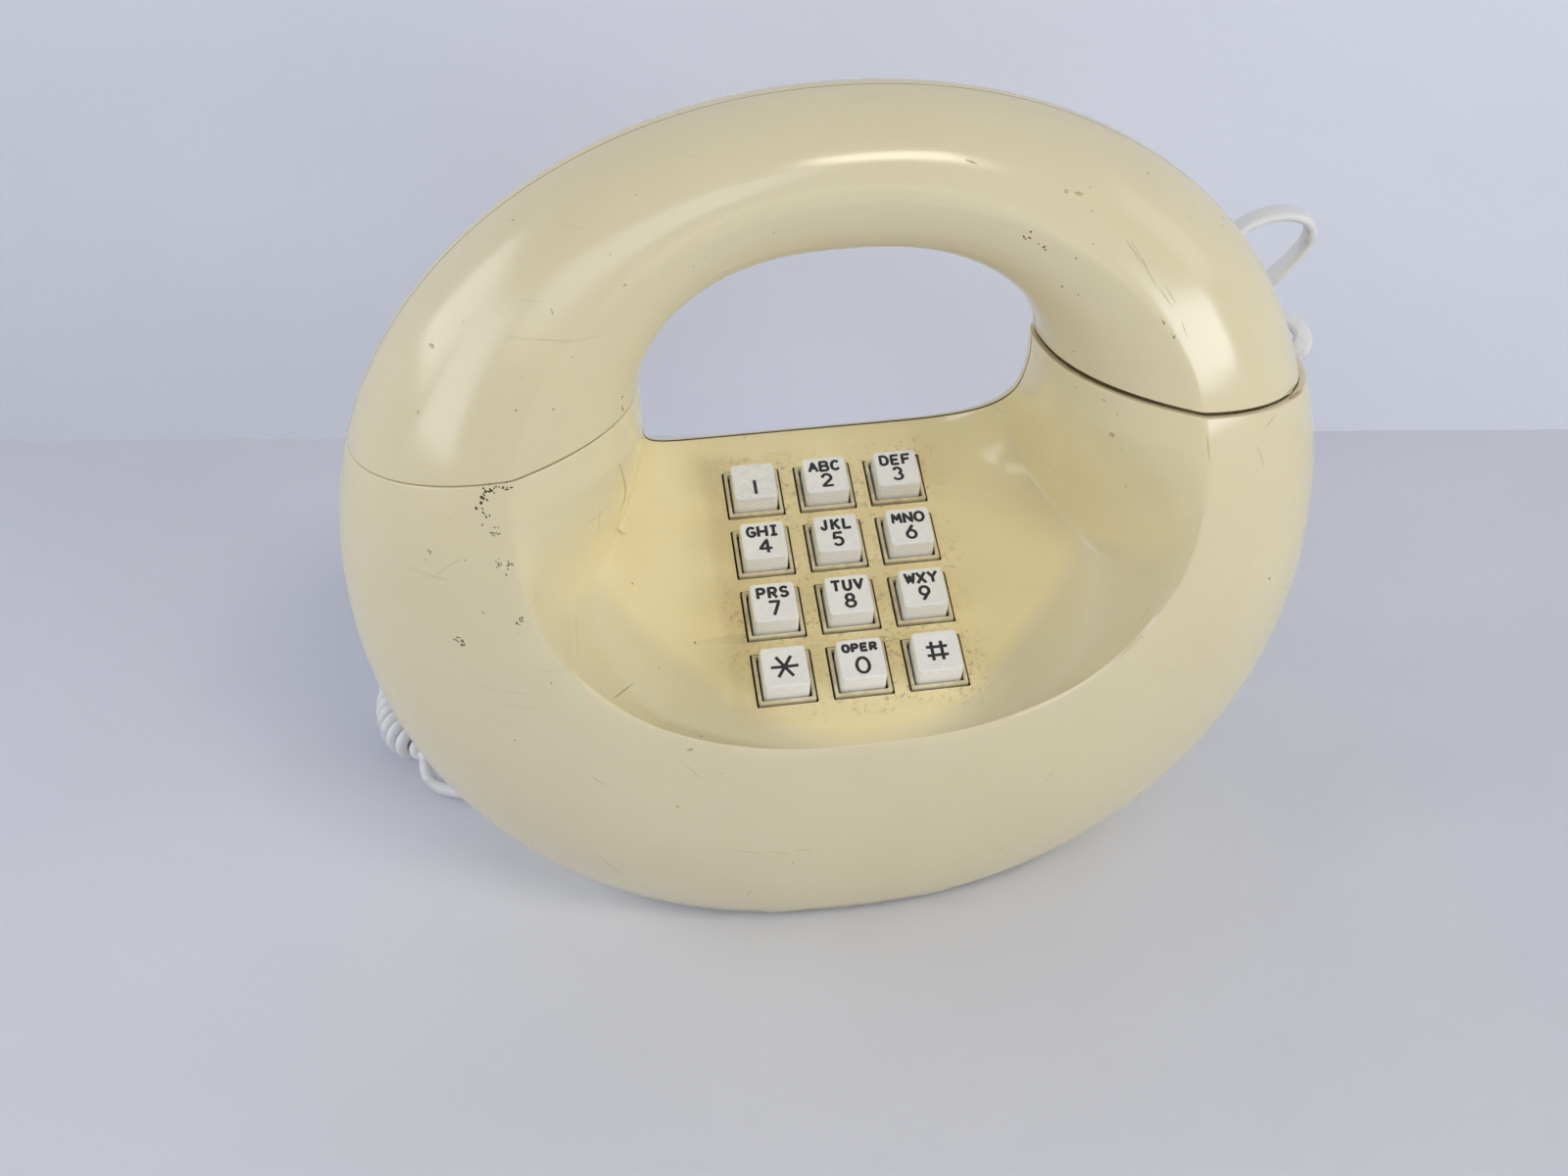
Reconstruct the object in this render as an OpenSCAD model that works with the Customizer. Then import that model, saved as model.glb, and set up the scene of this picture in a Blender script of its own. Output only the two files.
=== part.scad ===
// Corded push-button telephone in the shape of an upright ring.
// The lower half of the ring is the base with the keypad; the upper half is the
// handset, which lifts straight up off the two seats. +X right, +Y back, +Z up.

/* [Ring outline] */
// half width of the ring at its outer parting line
ring_half_w = 104; // [90:0.5:120]
// height of the ring's outer line above its middle
ring_up = 99.5; // [85:0.5:115]
// depth of the ring's outer line below its middle, before the foot is cut flat
ring_down = 105; // [90:0.5:120]
// height of the middle of the outer line above the table
ring_z = 88; // [80:0.5:96]
// plane in which front and rear housings part
parting_y = 9.1; // [5:0.1:14]
// height at which the underside is cut flat
underside_z = 2; // [1:0.5:4]
// wall thickness of the housings
wall = 2.6; // [2:0.1:3.5]

/* [Front crease] */
// half width of the crease round the bowl
crease_half_w = 66.7; // [60:0.1:75]
// height of the crease above its middle
crease_up = 51; // [45:0.5:60]
// depth of the crease below its middle
crease_down = 52.5; // [45:0.5:60]
// height of the middle of the crease
crease_z = 122; // [115:0.5:128]
// how far the crease stands in front at its middle height
crease_y = -28.7; // [-35:0.1:-20]

/* [Hand hole] */
// half width of the hand hole
hole_half_w = 41.2; // [36:0.1:46]
// height of the hole above its middle
hole_up = 38.6; // [32:0.1:44]
// depth of the hole below its middle
hole_down = 26; // [22:0.5:30]
// height of the middle of the hole
hole_z = 120.5; // [115:0.5:126]
// depth of the ring behind its parting plane at the top, sides and bottom
rear_depth = [12.5, 20.5, 32.57];

/* [Handset seam] */
// height of the seam between base and handset, 75 mm out
seam_z = 125.5; // [118:0.5:132]
// fall of the seam for each mm further out
seam_fall_x = 0.177; // [0.1:0.001:0.25]
// fall of the seam for each mm further back
seam_fall_y = 0.105; // [0.05:0.001:0.2]
// gap between handset and base
seam_gap = 0.4; // [0.2:0.05:1]
// distance from the middle to each ear or mouth cap
cap_x = 71; // [65:0.5:80]
// radius of the caps
cap_r = 17; // [15:0.5:20]

/* [Keypad] */
// slope of the keypad
pad_slope = 17.6; // [10:0.1:25]
// middle of the keypad's surface above the table
pad_z = 82; // [76:0.5:90]
// middle of the keypad's surface, front to back
pad_y = -1.9; // [-6:0.1:4]
// distance between keys
key_pitch = 15.875; // [14:0.005:18]
// width of a key's top
key_w = 9.34; // [8:0.01:12]
// height of a key above the pad
key_h = 4.96; // [3:0.01:7]
// width of the well round a key
well_w = 12.48; // [11:0.01:14]
// travel of a key
key_travel = 2.8; // [1.5:0.1:4]

/* [Cords] */
// outer diameter of the curled handset cord
curl_d = 10.5; // [9:0.5:14]
// diameter of the plain ends of the handset cord
tail_d = 3.2; // [2.6:0.1:5]
// mean diameter of the flat line cord
line_d = 3.6; // [3:0.1:5]

/* [Hidden] */
arc_n = 48;
band_n = 9;
funnel_n = 10;
rear_n = 8;
cream = [0.86, 0.83, 0.66];
white = [0.90, 0.90, 0.87];
steel = [0.72, 0.73, 0.74];
brass = [0.80, 0.66, 0.36];
dark = [0.16, 0.16, 0.17];
board_brown = [0.45, 0.33, 0.18];
in_wall = wall + 0.15;
cap_y = 2.5;
key_names = ["1", "2", "3", "4", "5", "6", "7", "8", "9", "star", "0", "hash"];

// route of the curled cord: over the table beside the base, round behind it, up to the handset
curl_route = [[-99, 37.5, 5.3], [-101.6, 41, 5.3], [-104.3, 46, 5.3], [-106.4, 52.5, 5.3],
    [-106.5, 61, 5.3], [-104, 70, 5.3], [-98, 78, 5.3], [-89, 82, 6.5], [-80, 80, 13], [-74, 74, 26],
    [-71, 68, 44], [-70, 63, 64], [-70, 60, 84], [-71, 58, 102]];
base_tail_route = [[-72.1, 20.5, 10.5], [-76, 20.9, 9.7], [-81, 22.2, 6.5], [-87, 25, 2.8],
    [-93, 27.8, 1.8], [-97, 30.2, 2.2], [-98.8, 33.2, 3.6], [-99, 37.5, 5.3]];
handset_tail_route = [[-71, 58, 102], [-71.4, 57.5, 112], [-72.2, 55.5, 123], [-73, 51, 130.5],
    [-73, 46.5, 132.3], [-73, 42, 132.5]];
// route of the line cord: back from the base, up in two loops that lean on the ring, down to the hank
line_route = [[30, 52.2, 12], [30, 56, 11.7], [31, 61, 9], [36, 66, 4], [45, 69, 2.3], [57, 68, 2.3],
    [66, 62, 8], [70, 54, 28], [73, 46, 60], [77, 39, 92], [82, 37, 114], [89, 39, 128], [97, 42, 135],
    [105, 43, 136.5], [112, 43, 135.5], [115, 43, 131.5], [112, 43.5, 125.5], [105, 44.5, 117],
    [98, 46, 109], [94, 50, 103.5], [97, 55, 102.5], [105, 55, 104.5], [113, 51, 105.5],
    [118.3, 46, 104], [117, 41, 101.5], [110, 39.5, 98], [101, 41, 90], [94, 44.5, 76],
    [87, 50, 55], [81, 57, 34], [75, 66, 15], [66, 75, 4.5], [56, 80, 2.3], [45, 79.5, 2.3],
    [35, 75.5, 3.6], [26, 71.5, 6.2], [17, 69.6, 7.3]];
hank_x = -22;
hank_y = 84;
hank_run = 60;
hank_out = 18.6;
hank_in = 7;
hank_h = 9.8;

// ---------- surface of the ring ----------
function clampf(v, a, b) = min(max(v, a), b);
function step01(a, b, v) = let(u = clampf((v - a) / (b - a), 0, 1)) u * u * (3 - 2 * u);
function smax(a, b, k) = k < 0.001 ? max(a, b)
    : let(h = clampf(0.5 + 0.5 * (a - b) / k, 0, 1)) b * (1 - h) + a * h + k * h * (1 - h);
function fold(t) = let(u = t < 0 ? -t : t) u > 180 ? 360 - u : u;
function three(t, top, side, bottom) = side + (top + bottom - 2 * side) / 4
    + (top - bottom) / 2 * cos(t) + (top + bottom - 2 * side) / 4 * cos(2 * t);
function oval(t, a, up, down, nu, nd) = let(n = cos(t) >= 0 ? nu : nd, b = cos(t) >= 0 ? up : down)
    [a * sign(sin(t)) * pow(abs(sin(t)), 2 / n), b * sign(cos(t)) * pow(abs(cos(t)), 2 / n)];

function equator(t, w) =
    let(p = oval(t, ring_half_w - w, ring_up - w, ring_down - w, 2.08, 2.03))
    [p.x, parting_y, ring_z + p.y];
function crease(t, w) = let(g = 0.35 * w,
    p = oval(t, crease_half_w + g, crease_up + g, crease_down + g, 2.03, 2.3))
    [p.x, crease_y + 0.31 * p.y + 0.0012 * p.y * p.y + w,
        crease_z + p.y - 0.8 * w * step01(95, 140, fold(t))];
function edge(t, w) = let(p = oval(t, hole_half_w + w, hole_up + w, hole_down + w, 2.55, 2.6),
    z0 = oval(t, hole_half_w, hole_up, hole_down, 2.55, 2.6).y)
    [p.x, 0.6 + 36.77 * exp(-(hole_z + z0 - 94.46) / 24) - w * step01(95, 150, fold(t)), hole_z + p.y];

function to_pad(p) = let(y = p.y - pad_y, z = p.z - pad_z)
    [p.x, y * cos(pad_slope) + z * sin(pad_slope), z * cos(pad_slope) - y * sin(pad_slope)];
function from_pad(q) = [q.x, pad_y + q.y * cos(pad_slope) - q.z * sin(pad_slope),
    pad_z + q.y * sin(pad_slope) + q.z * cos(pad_slope)];

// front, outside: s runs from the parting line (0) to the crease (1)
function band(t, s, w) = let(k = crease(t, w), o = equator(t, w), n = three(t, 2.0, 2.1, 2.2),
    c = pow(cos(90 * s), 2 / n), r = pow(sin(90 * s), 2 / n))
    [k.x + (o.x - k.x) * c, parting_y + (k.y - parting_y) * r, k.z + (o.z - k.z) * c];
// front, inside: s runs from the crease (0) to the hole's edge (1), over the keypad at the bottom
function bowl_share(t) = step01(86, 112, fold(t));
function bowl_middle(t, w) = let(k = crease(t, w), i = edge(t, w), m = bowl_share(t),
    p = from_pad([51.5 * sign(sin(t)) * pow(abs(sin(t)), 0.7), max(118 - fold(t), -24), -12 - w]))
    (1 - m) * [i.x, i.y + (k.y - i.y) * 0.8, i.z] + m * p;
function bezier(a, b, c, d, s) = let(r = 1 - s)
    r * r * r * a + 3 * r * r * s * b + 3 * r * s * s * c + s * s * s * d;
function funnel(t, s, w) = let(k = crease(t, w), i = edge(t, w), c = bowl_middle(t, w),
    pull = 0.667 + 0.1 * bowl_share(t), q = to_pad(bezier(k, k + pull * (c - k), i + pull * (c - i), i, s)),
    soft = 4 * s * (1 - s) * (5 + 9 * (1 - step01(125, 160, fold(t)))))
    fold(t) < 75 ? from_pad(q) : from_pad([q.x, q.y, smax(q.z, -w, soft)]);
// rear: s runs from the hole's edge (0) over the crest (1) to the parting line (2)
function rear(t, s, w) = let(o = equator(t, w), i = edge(t, w), m = (equator(t, 0) + edge(t, 0)) / 2,
    h = parting_y + three(t, rear_depth[0], rear_depth[1], rear_depth[2]) - w,
    e = s < 1 ? i : o, c = s < 1 ? cos(90 * s) : sin(90 * (s - 1)),
    r = s < 1 ? sin(90 * s) : cos(90 * (s - 1)))
    [m.x + (e.x - m.x) * c, e.y + (h - e.y) * r, m.z + (e.z - m.z) * c];

// the profile as numbered points: first the front, 0 to front_n, or the rear, 0 to 2 * rear_n
front_n = band_n + funnel_n;
function front_pt(t, j, w) = j <= band_n ? band(t, j / band_n, w)
    : funnel(t, (j - band_n) / funnel_n, w);
function rear_pt(t, j, w) = rear(t, j / rear_n, w);
function skin(part, t, j, w) = part == "front" ? front_pt(t, j, w) : rear_pt(t, j, w);
function count(part) = part == "front" ? front_n : 2 * rear_n;

// angle at which a profile point crosses the seam, moved up by lift
function seam_at(x, y) = seam_z - seam_fall_x * (abs(x) - 75) - seam_fall_y * (y - parting_y);
function above(part, t, j, w, lift) = let(p = skin(part, t, j, w)) p.z - seam_at(p.x, p.y) - lift;
function seam_t(part, j, w, lift, lo = 45, hi = 125, n = 22) = n == 0 ? (lo + hi) / 2
    : let(mid = (lo + hi) / 2) above(part, mid, j, w, lift) > 0
        ? seam_t(part, j, w, lift, mid, hi, n - 1) : seam_t(part, j, w, lift, lo, mid, n - 1);

function floor_at(p, w) = [p.x, p.y, max(p.z, underside_z + w)];
// one skin of a shell: rows along the arc, each a list of profile points
function skin_rows(part, w, lift, base) = let(m = count(part),
    ts = [for (j = [0:m]) seam_t(part, j, w, lift)])
    [for (i = [0:arc_n]) [for (j = [0:m])
        let(t = base ? ts[j] + (360 - 2 * ts[j]) * i / arc_n : -ts[j] + 2 * ts[j] * i / arc_n)
        floor_at(skin(part, t, j, w), w)]];

module shell(part, lift, base) {
    m = count(part);
    outer = skin_rows(part, 0, lift, base);
    inner = skin_rows(part, wall, lift, base);
    n = 2 * m + 2;
    points = [for (i = [0:arc_n]) each concat(outer[i], [for (j = [m:-1:0]) inner[i][j]])];
    sides = [for (i = [0:arc_n - 1]) for (j = [0:n - 1]) let(a = i * n + j, b = i * n + (j + 1) % n)
        each part == "front" ? [[a, b, b + n], [a, b + n, a + n]] : [[a, b, a + n], [b, b + n, a + n]]];
    cap0 = [for (j = [0:m - 1]) each [[j, n - 1 - j, n - 2 - j], [j, n - 2 - j, j + 1]]];
    last = arc_n * n;
    cap1 = [for (f = cap0) [last + f[0], last + f[2], last + f[1]]];
    faces = concat(sides, cap0, cap1);
    polyhedron(points, [for (f = faces) [f[0], f[2], f[1]]]);
}

// a plate that fills the ring's inside at one seam, between two heights beside the seam
function inside_loop(lift) = concat(
    [for (j = [0:front_n]) front_pt(seam_t("front", j, in_wall, lift), j, in_wall)],
    [for (j = [1:2 * rear_n - 1]) rear_pt(seam_t("rear", j, in_wall, lift), j, in_wall)]);
module seam_plate(low, high) {
    a = inside_loop(low);
    b = inside_loop(high);
    n = len(a);
    ca = [cap_x, cap_y, seam_at(cap_x, cap_y) + low];
    cb = [cap_x, cap_y, seam_at(cap_x, cap_y) + high];
    polyhedron(concat(a, b, [ca, cb]), concat(
        [for (j = [0:n - 1]) let(k = (j + 1) % n) each [[j, k, n + k], [j, n + k, n + j]]],
        [for (j = [0:n - 1]) [(j + 1) % n, j, 2 * n]],
        [for (j = [0:n - 1]) [n + j, n + (j + 1) % n, 2 * n + 1]]));
}

// a round tube along route points, smoothed by a Catmull-Rom curve
function spline(p, i, u) = let(n = len(p) - 1, a = p[max(i - 1, 0)], b = p[i], c = p[min(i + 1, n)],
    d = p[min(i + 2, n)])
    0.5 * (2 * b + (c - a) * u + (2 * a - 5 * b + 4 * c - d) * u * u
    + (3 * b - a - 3 * c + d) * u * u * u);
function smooth_route(p, k) = concat([for (i = [0:len(p) - 2]) for (u = [0:k - 1]) spline(p, i, u / k)],
    [p[len(p) - 1]]);
function unit(v) = v / norm(v);
function carried(v, d) = unit(v - (v * d) * d);
function side_dirs(dirs, v, i = 0) = i == len(dirs) ? []
    : let(w = carried(v, dirs[i])) concat([w], side_dirs(dirs, w, i + 1));
module tube(route, d, k = 2, sides = 8) {
    p = smooth_route(route, k);
    m = len(p) - 1;
    dirs = [for (i = [0:m]) unit(p[min(i + 1, m)] - p[max(i - 1, 0)])];
    first = abs(dirs[0].z) > 0.8 ? [1, 0, 0] : [0, 0, 1];
    across = side_dirs(dirs, first);
    points = [for (i = [0:m]) for (s = [0:sides - 1]) let(a = 360 * s / sides)
        p[i] + d / 2 * (cos(a) * across[i] + sin(a) * cross(dirs[i], across[i]))];
    polyhedron(points, concat(
        [for (i = [0:m - 1]) for (s = [0:sides - 1]) let(q = (s + 1) % sides, a = i * sides)
            each [[a + s, a + sides + s, a + sides + q], [a + s, a + sides + q, a + q]]],
        [[for (s = [0:sides - 1]) s]],
        [[for (s = [sides - 1:-1:0]) m * sides + s]]));
}

module on_pad() {
    translate([0, pad_y, pad_z]) rotate([pad_slope, 0, 0]) children();
}
module box_at(x, y, low, high, w, d) {
    translate([x - w / 2, y - d / 2, low]) cube([w, d, high - low]);
}
module at_keys() {
    for (r = [0:3]) {
        for (c = [-1:1]) {
            translate([c * key_pitch, (1.5 - r) * key_pitch, 0]) children();
        }
    }
}
module rounded(w, r) {
    offset(r = r, $fn = 24) square(w - 2 * r, center = true);
}
module along_y(x, y, z, len, r) {
    translate([x, y, z]) rotate([-90, 0, 0]) cylinder(h = len, r = r, $fn = 40);
}
// everything above the seam's plane at one side, moved up by lift
module over_seam(side, lift) {
    tilt_x = atan(seam_fall_x);
    tilt_y = atan(seam_fall_y * cos(tilt_x));
    translate([side * cap_x, cap_y, seam_at(cap_x, cap_y) + lift]) {
        rotate([0, side * tilt_x, 0]) rotate([-tilt_y, 0, 0]) translate([-50, -50, 0]) cube(100);
    }
}

// ---------- base ----------
module base_front_housing() {
    color(cream) difference() {
        shell("front", 0, true);
        on_pad() at_keys() box_at(0, 0, -4, 2, well_w, well_w);
    }
}
module base_rear_housing() {
    color(cream) difference() {
        shell("rear", 0, true);
        along_y(30, 30, 12, 20, 4.2);
        base_relief_axis() translate([0, 0, -10]) cylinder(h = 24, r = 4.2, $fn = 40);
    }
}
module chassis_plate() {
    color(steel) difference() {
        translate([0, 5, 4.9]) linear_extrude(1.5) square([80, 34], center = true);
        at_chassis_screws() translate([0, 0, 4]) cylinder(h = 3, r = 1.65, $fn = 32);
    }
}
module at_chassis_screws() {
    for (x = [-32, 32]) {
        for (y = [-8, 18]) {
            translate([x, y, 0]) children();
        }
    }
}
module chassis_screws() {
    color(steel) at_chassis_screws() {
        translate([0, 0, 4.65]) cylinder(h = 1.75, r = 1.5, $fn = 32);
        translate([0, 0, 6.4]) cylinder(h = 2, r = 3, $fn = 32);
    }
}
module foot(x, y) {
    color(dark) translate([x, y, 0]) cylinder(h = underside_z, r = 6, $fn = 48);
}
module foot_front_left() {
    foot(-36, -5);
}
module foot_front_right() {
    foot(36, -5);
}
module foot_rear_left() {
    foot(-36, 22);
}
module foot_rear_right() {
    foot(36, 22);
}

// ---------- keypad ----------
module keypad_frame() {
    color(cream) on_pad() difference() {
        union() {
            box_at(0, 0, -5, -wall - 0.1, 54, 68);
            at_keys() box_at(0, 0, -5, -0.6, 12, 12);
        }
        at_keys() box_at(0, 0, -6, 1, 10.4, 10.4);
        for (x = [-24.8, 24.8]) {
            for (y = [-31, 31]) {
                translate([x, y, -6]) cylinder(h = 6, r = 1.1, $fn = 32);
            }
        }
    }
}
module keypad_board() {
    color(board_brown) on_pad() difference() {
        box_at(0, 0, -14.1, -12.5, 54, 66);
        for (x = [-24.8, 24.8]) {
            for (y = [-31, 31]) {
                translate([x, y, -15]) cylinder(h = 4, r = 1.1, $fn = 32);
            }
        }
    }
}
module keypad_contacts() {
    color(steel) on_pad() at_keys() translate([0, 0, -12.5]) cylinder(h = 0.5, r = 3, $fn = 32);
}
module keypad_posts() {
    color(steel) on_pad() {
        for (x = [-24.8, 24.8]) {
            for (y = [-31, 31]) {
                translate([x, y, -12.5]) cylinder(h = 7.5, r = 2, $fn = 32);
                translate([x, y, -14.1]) cylinder(h = 1.6, r = 1, $fn = 32);
                translate([x, y, -15.6]) cylinder(h = 1.5, r = 1.9, $fn = 32);
            }
        }
    }
}
module key(index) {
    column = index % 3 - 1;
    row = 1.5 - floor(index / 3);
    color(white) on_pad() translate([column * key_pitch, row * key_pitch, 0]) {
        translate([0, 0, -5.4]) linear_extrude(key_h + 5.4) rounded(key_w, 0.9);
        translate([0, 0, -6.6]) linear_extrude(1.2) square(11.6, center = true);
        translate([0, 0, -9]) cylinder(h = 2.4, r = 1.8, $fn = 32);
    }
}
module key_1() {
    key(0);
}
module key_2() {
    key(1);
}
module key_3() {
    key(2);
}
module key_4() {
    key(3);
}
module key_5() {
    key(4);
}
module key_6() {
    key(5);
}
module key_7() {
    key(6);
}
module key_8() {
    key(7);
}
module key_9() {
    key(8);
}
module key_star() {
    key(9);
}
module key_0() {
    key(10);
}
module key_hash() {
    key(11);
}

// ---------- ringer ----------
gong_x = 36;
gong_z = 34;
gong_r = 23;
module ringer_bracket() {
    color(steel) {
        difference() {
            translate([-42, 6, 6.4]) cube([84, 1.6, 36]);
            for (x = [-gong_x, gong_x]) {
                along_y(x, 5, gong_z, 4, 1.55);
            }
        }
        translate([-20, 6, 6.4]) cube([40, 14, 1.2]);
        along_y(0, 7.6, 12, 11, 1.2);
    }
}
module ringer_coils() {
    color([0.55, 0.22, 0.12]) for (x = [-11, 11]) {
        translate([x, 14, 7.6]) cylinder(h = 11.4, r = 6, $fn = 48);
    }
}
module gong(side) {
    color(brass) translate([side * gong_x, 0, gong_z]) rotate([-90, 0, 0]) rotate_extrude($fn = 72) {
        polygon([[1.6, 9], [14, 9.4], [20.5, 12], [gong_r, 16.5], [gong_r, 23], [gong_r - 1.5, 23],
            [gong_r - 1.5, 17], [19.5, 13.4], [13.7, 10.9], [1.6, 10.5]]);
    }
}
module gong_left() {
    gong(-1);
}
module gong_right() {
    gong(1);
}
module gong_screws() {
    color(steel) for (x = [-gong_x, gong_x]) {
        along_y(x, 6, gong_z, 4.5, 1.5);
        along_y(x, 7.6, gong_z, 1.4, 3);
        along_y(x, 10.6, gong_z, 1.8, 3);
    }
}
module ringer_clapper() {
    color(steel) difference() {
        union() {
            along_y(0, 12, 12, 3, 3);
            translate([-0.9, 12.6, 14]) cube([1.8, 1.8, 22]);
            translate([-10, 13.5, 36]) rotate([0, 90, 0]) cylinder(h = 20, r = 2.4, $fn = 32);
        }
        along_y(0, 11, 12, 5, 1.25);
    }
}

// ---------- network ----------
module network_block() {
    color([0.30, 0.29, 0.28]) box_at(0, -5, 6.4, 30, 56, 13);
}
module network_terminals() {
    color(brass) for (x = [-21:14:21]) {
        for (y = [-8.5, -1.5]) {
            translate([x, y, 30]) cylinder(h = 2, r = 2.6, $fn = 32);
        }
    }
}

// ---------- hook switch, in the left side of the base ----------
hook_top = 119.5;
module hook_switch_body() {
    color(dark) difference() {
        box_at(-cap_x, cap_y, 84, 100, 17, 15);
        translate([-cap_x, cap_y, 88]) cylinder(h = 13, r = 2.48, $fn = 48);
    }
}
module hook_switch_bracket() {
    color(steel) translate([0, 5, 0]) rotate([90, 0, 0]) linear_extrude(11) {
        polygon([[-33, 9.5], [-40, 9.5], [-62.4, 48], [-62.4, 98], [-61.2, 98], [-61.2, 48.4],
            [-39.2, 10.9], [-33, 10.9]]);
    }
}
module hook_plunger() {
    color(white) {
        translate([-cap_x, cap_y, 89]) cylinder(h = hook_top - 89, r = 2.4, $fn = 48);
        translate([-cap_x, cap_y, 108]) cylinder(h = 1.5, r = 4.2, $fn = 48);
    }
}
module hook_spring() {
    color(steel) translate([-cap_x, cap_y, 100]) rotate_extrude($fn = 40) {
        polygon(concat([for (i = [0:8]) [i % 2 == 0 ? 2.8 : 3.5, i]],
            [for (i = [8:-1:0]) [i % 2 == 0 ? 3.4 : 4.1, i]]));
    }
}

// ---------- seats ----------
module seat() {
    difference() {
        seam_plate(-4, -1.6);
        translate([cap_x, cap_y, 100]) cylinder(h = 50, r = cap_r + 3.1, $fn = 72);
    }
}
module seat_left() {
    color(cream) mirror([1, 0, 0]) seat();
}
module seat_right() {
    color(cream) seat();
}
module cup(side) {
    difference() {
        translate([side * cap_x, cap_y, 116]) cylinder(h = 22, r = cap_r + 2.9, $fn = 72);
        translate([side * cap_x, cap_y, 117.5]) cylinder(h = 30, r = cap_r + 1.4, $fn = 72);
        over_seam(side, -1.6);
        if (side < 0) {
            translate([side * cap_x, cap_y, 110]) cylinder(h = 10, r = 2.48, $fn = 48);
        }
    }
}
module cup_left() {
    color(cream) cup(-1);
}
module cup_right() {
    color(cream) cup(1);
}

// ---------- cords ----------
module base_relief_axis() {
    translate([-58, 19, 13.5]) rotate([0, -102, -6]) children();
}
module base_cord_relief() {
    color(white) base_relief_axis() {
        translate([0, 0, -2]) cylinder(h = 8, r = 4.1, $fn = 40);
        translate([0, 0, 6]) cylinder(h = 8.2, r1 = 4.1, r2 = 2.1, $fn = 40);
    }
}
module line_cord_relief() {
    color(white) {
        along_y(30, 32, 12, 7, 4.1);
        translate([30, 39, 12]) rotate([-90, 0, 0]) cylinder(h = 13, r1 = 4.1, r2 = 2.8, $fn = 40);
    }
}
module line_cord() {
    color(white) tube(line_route, line_d, 2, 10);
}
module hank_outline(r) {
    translate([-hank_run / 2, -r]) square([hank_run, 2 * r]);
    translate([-hank_run / 2, 0]) circle(r, $fn = 64);
    translate([hank_run / 2, 0]) circle(r, $fn = 64);
}
module line_cord_hank() {
    color(white) translate([hank_x, hank_y, 0]) linear_extrude(hank_h) difference() {
        hank_outline(hank_out);
        hank_outline(hank_in);
    }
}
module hank_tie() {
    color(dark) difference() {
        box_at(hank_x, hank_y, 0, hank_h + 1.6, 9, 2 * hank_out + 2.4);
        box_at(hank_x, hank_y, -1, hank_h + 0.1, 10, 2 * hank_out + 0.2);
    }
}
module line_plug() {
    color([0.75, 0.76, 0.74]) translate([20.5, 96.6, 0]) cube([21, 9.6, 6.6]);
}
module curly_cord() {
    color(white) tube(curl_route, curl_d, 2, 12);
}
module curly_tail_base() {
    color(white) tube(base_tail_route, tail_d, 2, 10);
}
module curly_tail_handset() {
    color(white) tube(handset_tail_route, tail_d, 2, 10);
}

// ---------- handset ----------
module handset_front_shell() {
    color(cream) shell("front", seam_gap, false);
}
module handset_rear_shell() {
    color(cream) difference() {
        shell("rear", seam_gap, false);
        along_y(-73, 22, 132.5, 20, 4.2);
    }
}
module handset_end() {
    difference() {
        seam_plate(seam_gap + 0.6, seam_gap + 3);
        translate([cap_x, cap_y, 100]) cylinder(h = 60, r = cap_r + 0.1, $fn = 72);
    }
}
module handset_end_left() {
    color(cream) mirror([1, 0, 0]) handset_end();
}
module handset_end_right() {
    color(cream) handset_end();
}
module cap(side) {
    difference() {
        translate([side * cap_x, cap_y, hook_top + 0.1]) cylinder(h = 11, r = cap_r, $fn = 72);
        translate([side * cap_x, cap_y, hook_top + 1.8]) cylinder(h = 20, r = cap_r - 1.6, $fn = 72);
        for (i = [0:5]) {
            translate([side * cap_x, cap_y, 110]) rotate(60 * i) translate([8, 0, 0]) {
                cylinder(h = 20, r = 1, $fn = 24);
            }
        }
    }
}
module receiver_cap() {
    color(cream) cap(-1);
}
module transmitter_cap() {
    color(cream) cap(1);
}
module receiver_capsule() {
    color(steel) translate([-cap_x, cap_y, hook_top + 2.8]) cylinder(h = 7, r = cap_r - 2, $fn = 60);
}
module transmitter_capsule() {
    color(steel) translate([cap_x, cap_y, hook_top + 2.8]) cylinder(h = 7, r = cap_r - 2, $fn = 60);
}
wire_route = [for (t = [-64:8:64]) let(m = (equator(t, 0) + edge(t, 0)) / 2) [m.x, parting_y - 4, m.z]];
module handset_wires() {
    color([0.5, 0.12, 0.1]) tube(wire_route, 3, 2, 8);
}
module handset_cord_relief() {
    color(white) {
        along_y(-73, 24, 132.5, 8, 4.1);
        translate([-73, 32, 132.5]) rotate([-90, 0, 0]) cylinder(h = 9.5, r1 = 4.1, r2 = 2.1, $fn = 40);
    }
}

base_front_housing();
base_rear_housing();
chassis_plate();
chassis_screws();
foot_front_left();
foot_front_right();
foot_rear_left();
foot_rear_right();
keypad_frame();
keypad_board();
keypad_contacts();
keypad_posts();
key_1();
key_2();
key_3();
key_4();
key_5();
key_6();
key_7();
key_8();
key_9();
key_star();
key_0();
key_hash();
ringer_bracket();
ringer_coils();
gong_left();
gong_right();
gong_screws();
ringer_clapper();
network_block();
network_terminals();
hook_switch_body();
hook_switch_bracket();
hook_plunger();
hook_spring();
seat_left();
seat_right();
cup_left();
cup_right();
base_cord_relief();
line_cord_relief();
line_cord();
line_cord_hank();
hank_tie();
line_plug();
curly_cord();
curly_tail_base();
curly_tail_handset();
handset_front_shell();
handset_rear_shell();
handset_end_left();
handset_end_right();
receiver_cap();
receiver_capsule();
transmitter_cap();
transmitter_capsule();
handset_wires();
handset_cord_relief();
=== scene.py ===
import math

import bmesh
import bpy
import numpy as np
from bpy.props import FloatProperty, FloatVectorProperty, IntProperty, PointerProperty
from mathutils import Matrix, Vector
from mathutils.bvhtree import BVHTree


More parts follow.
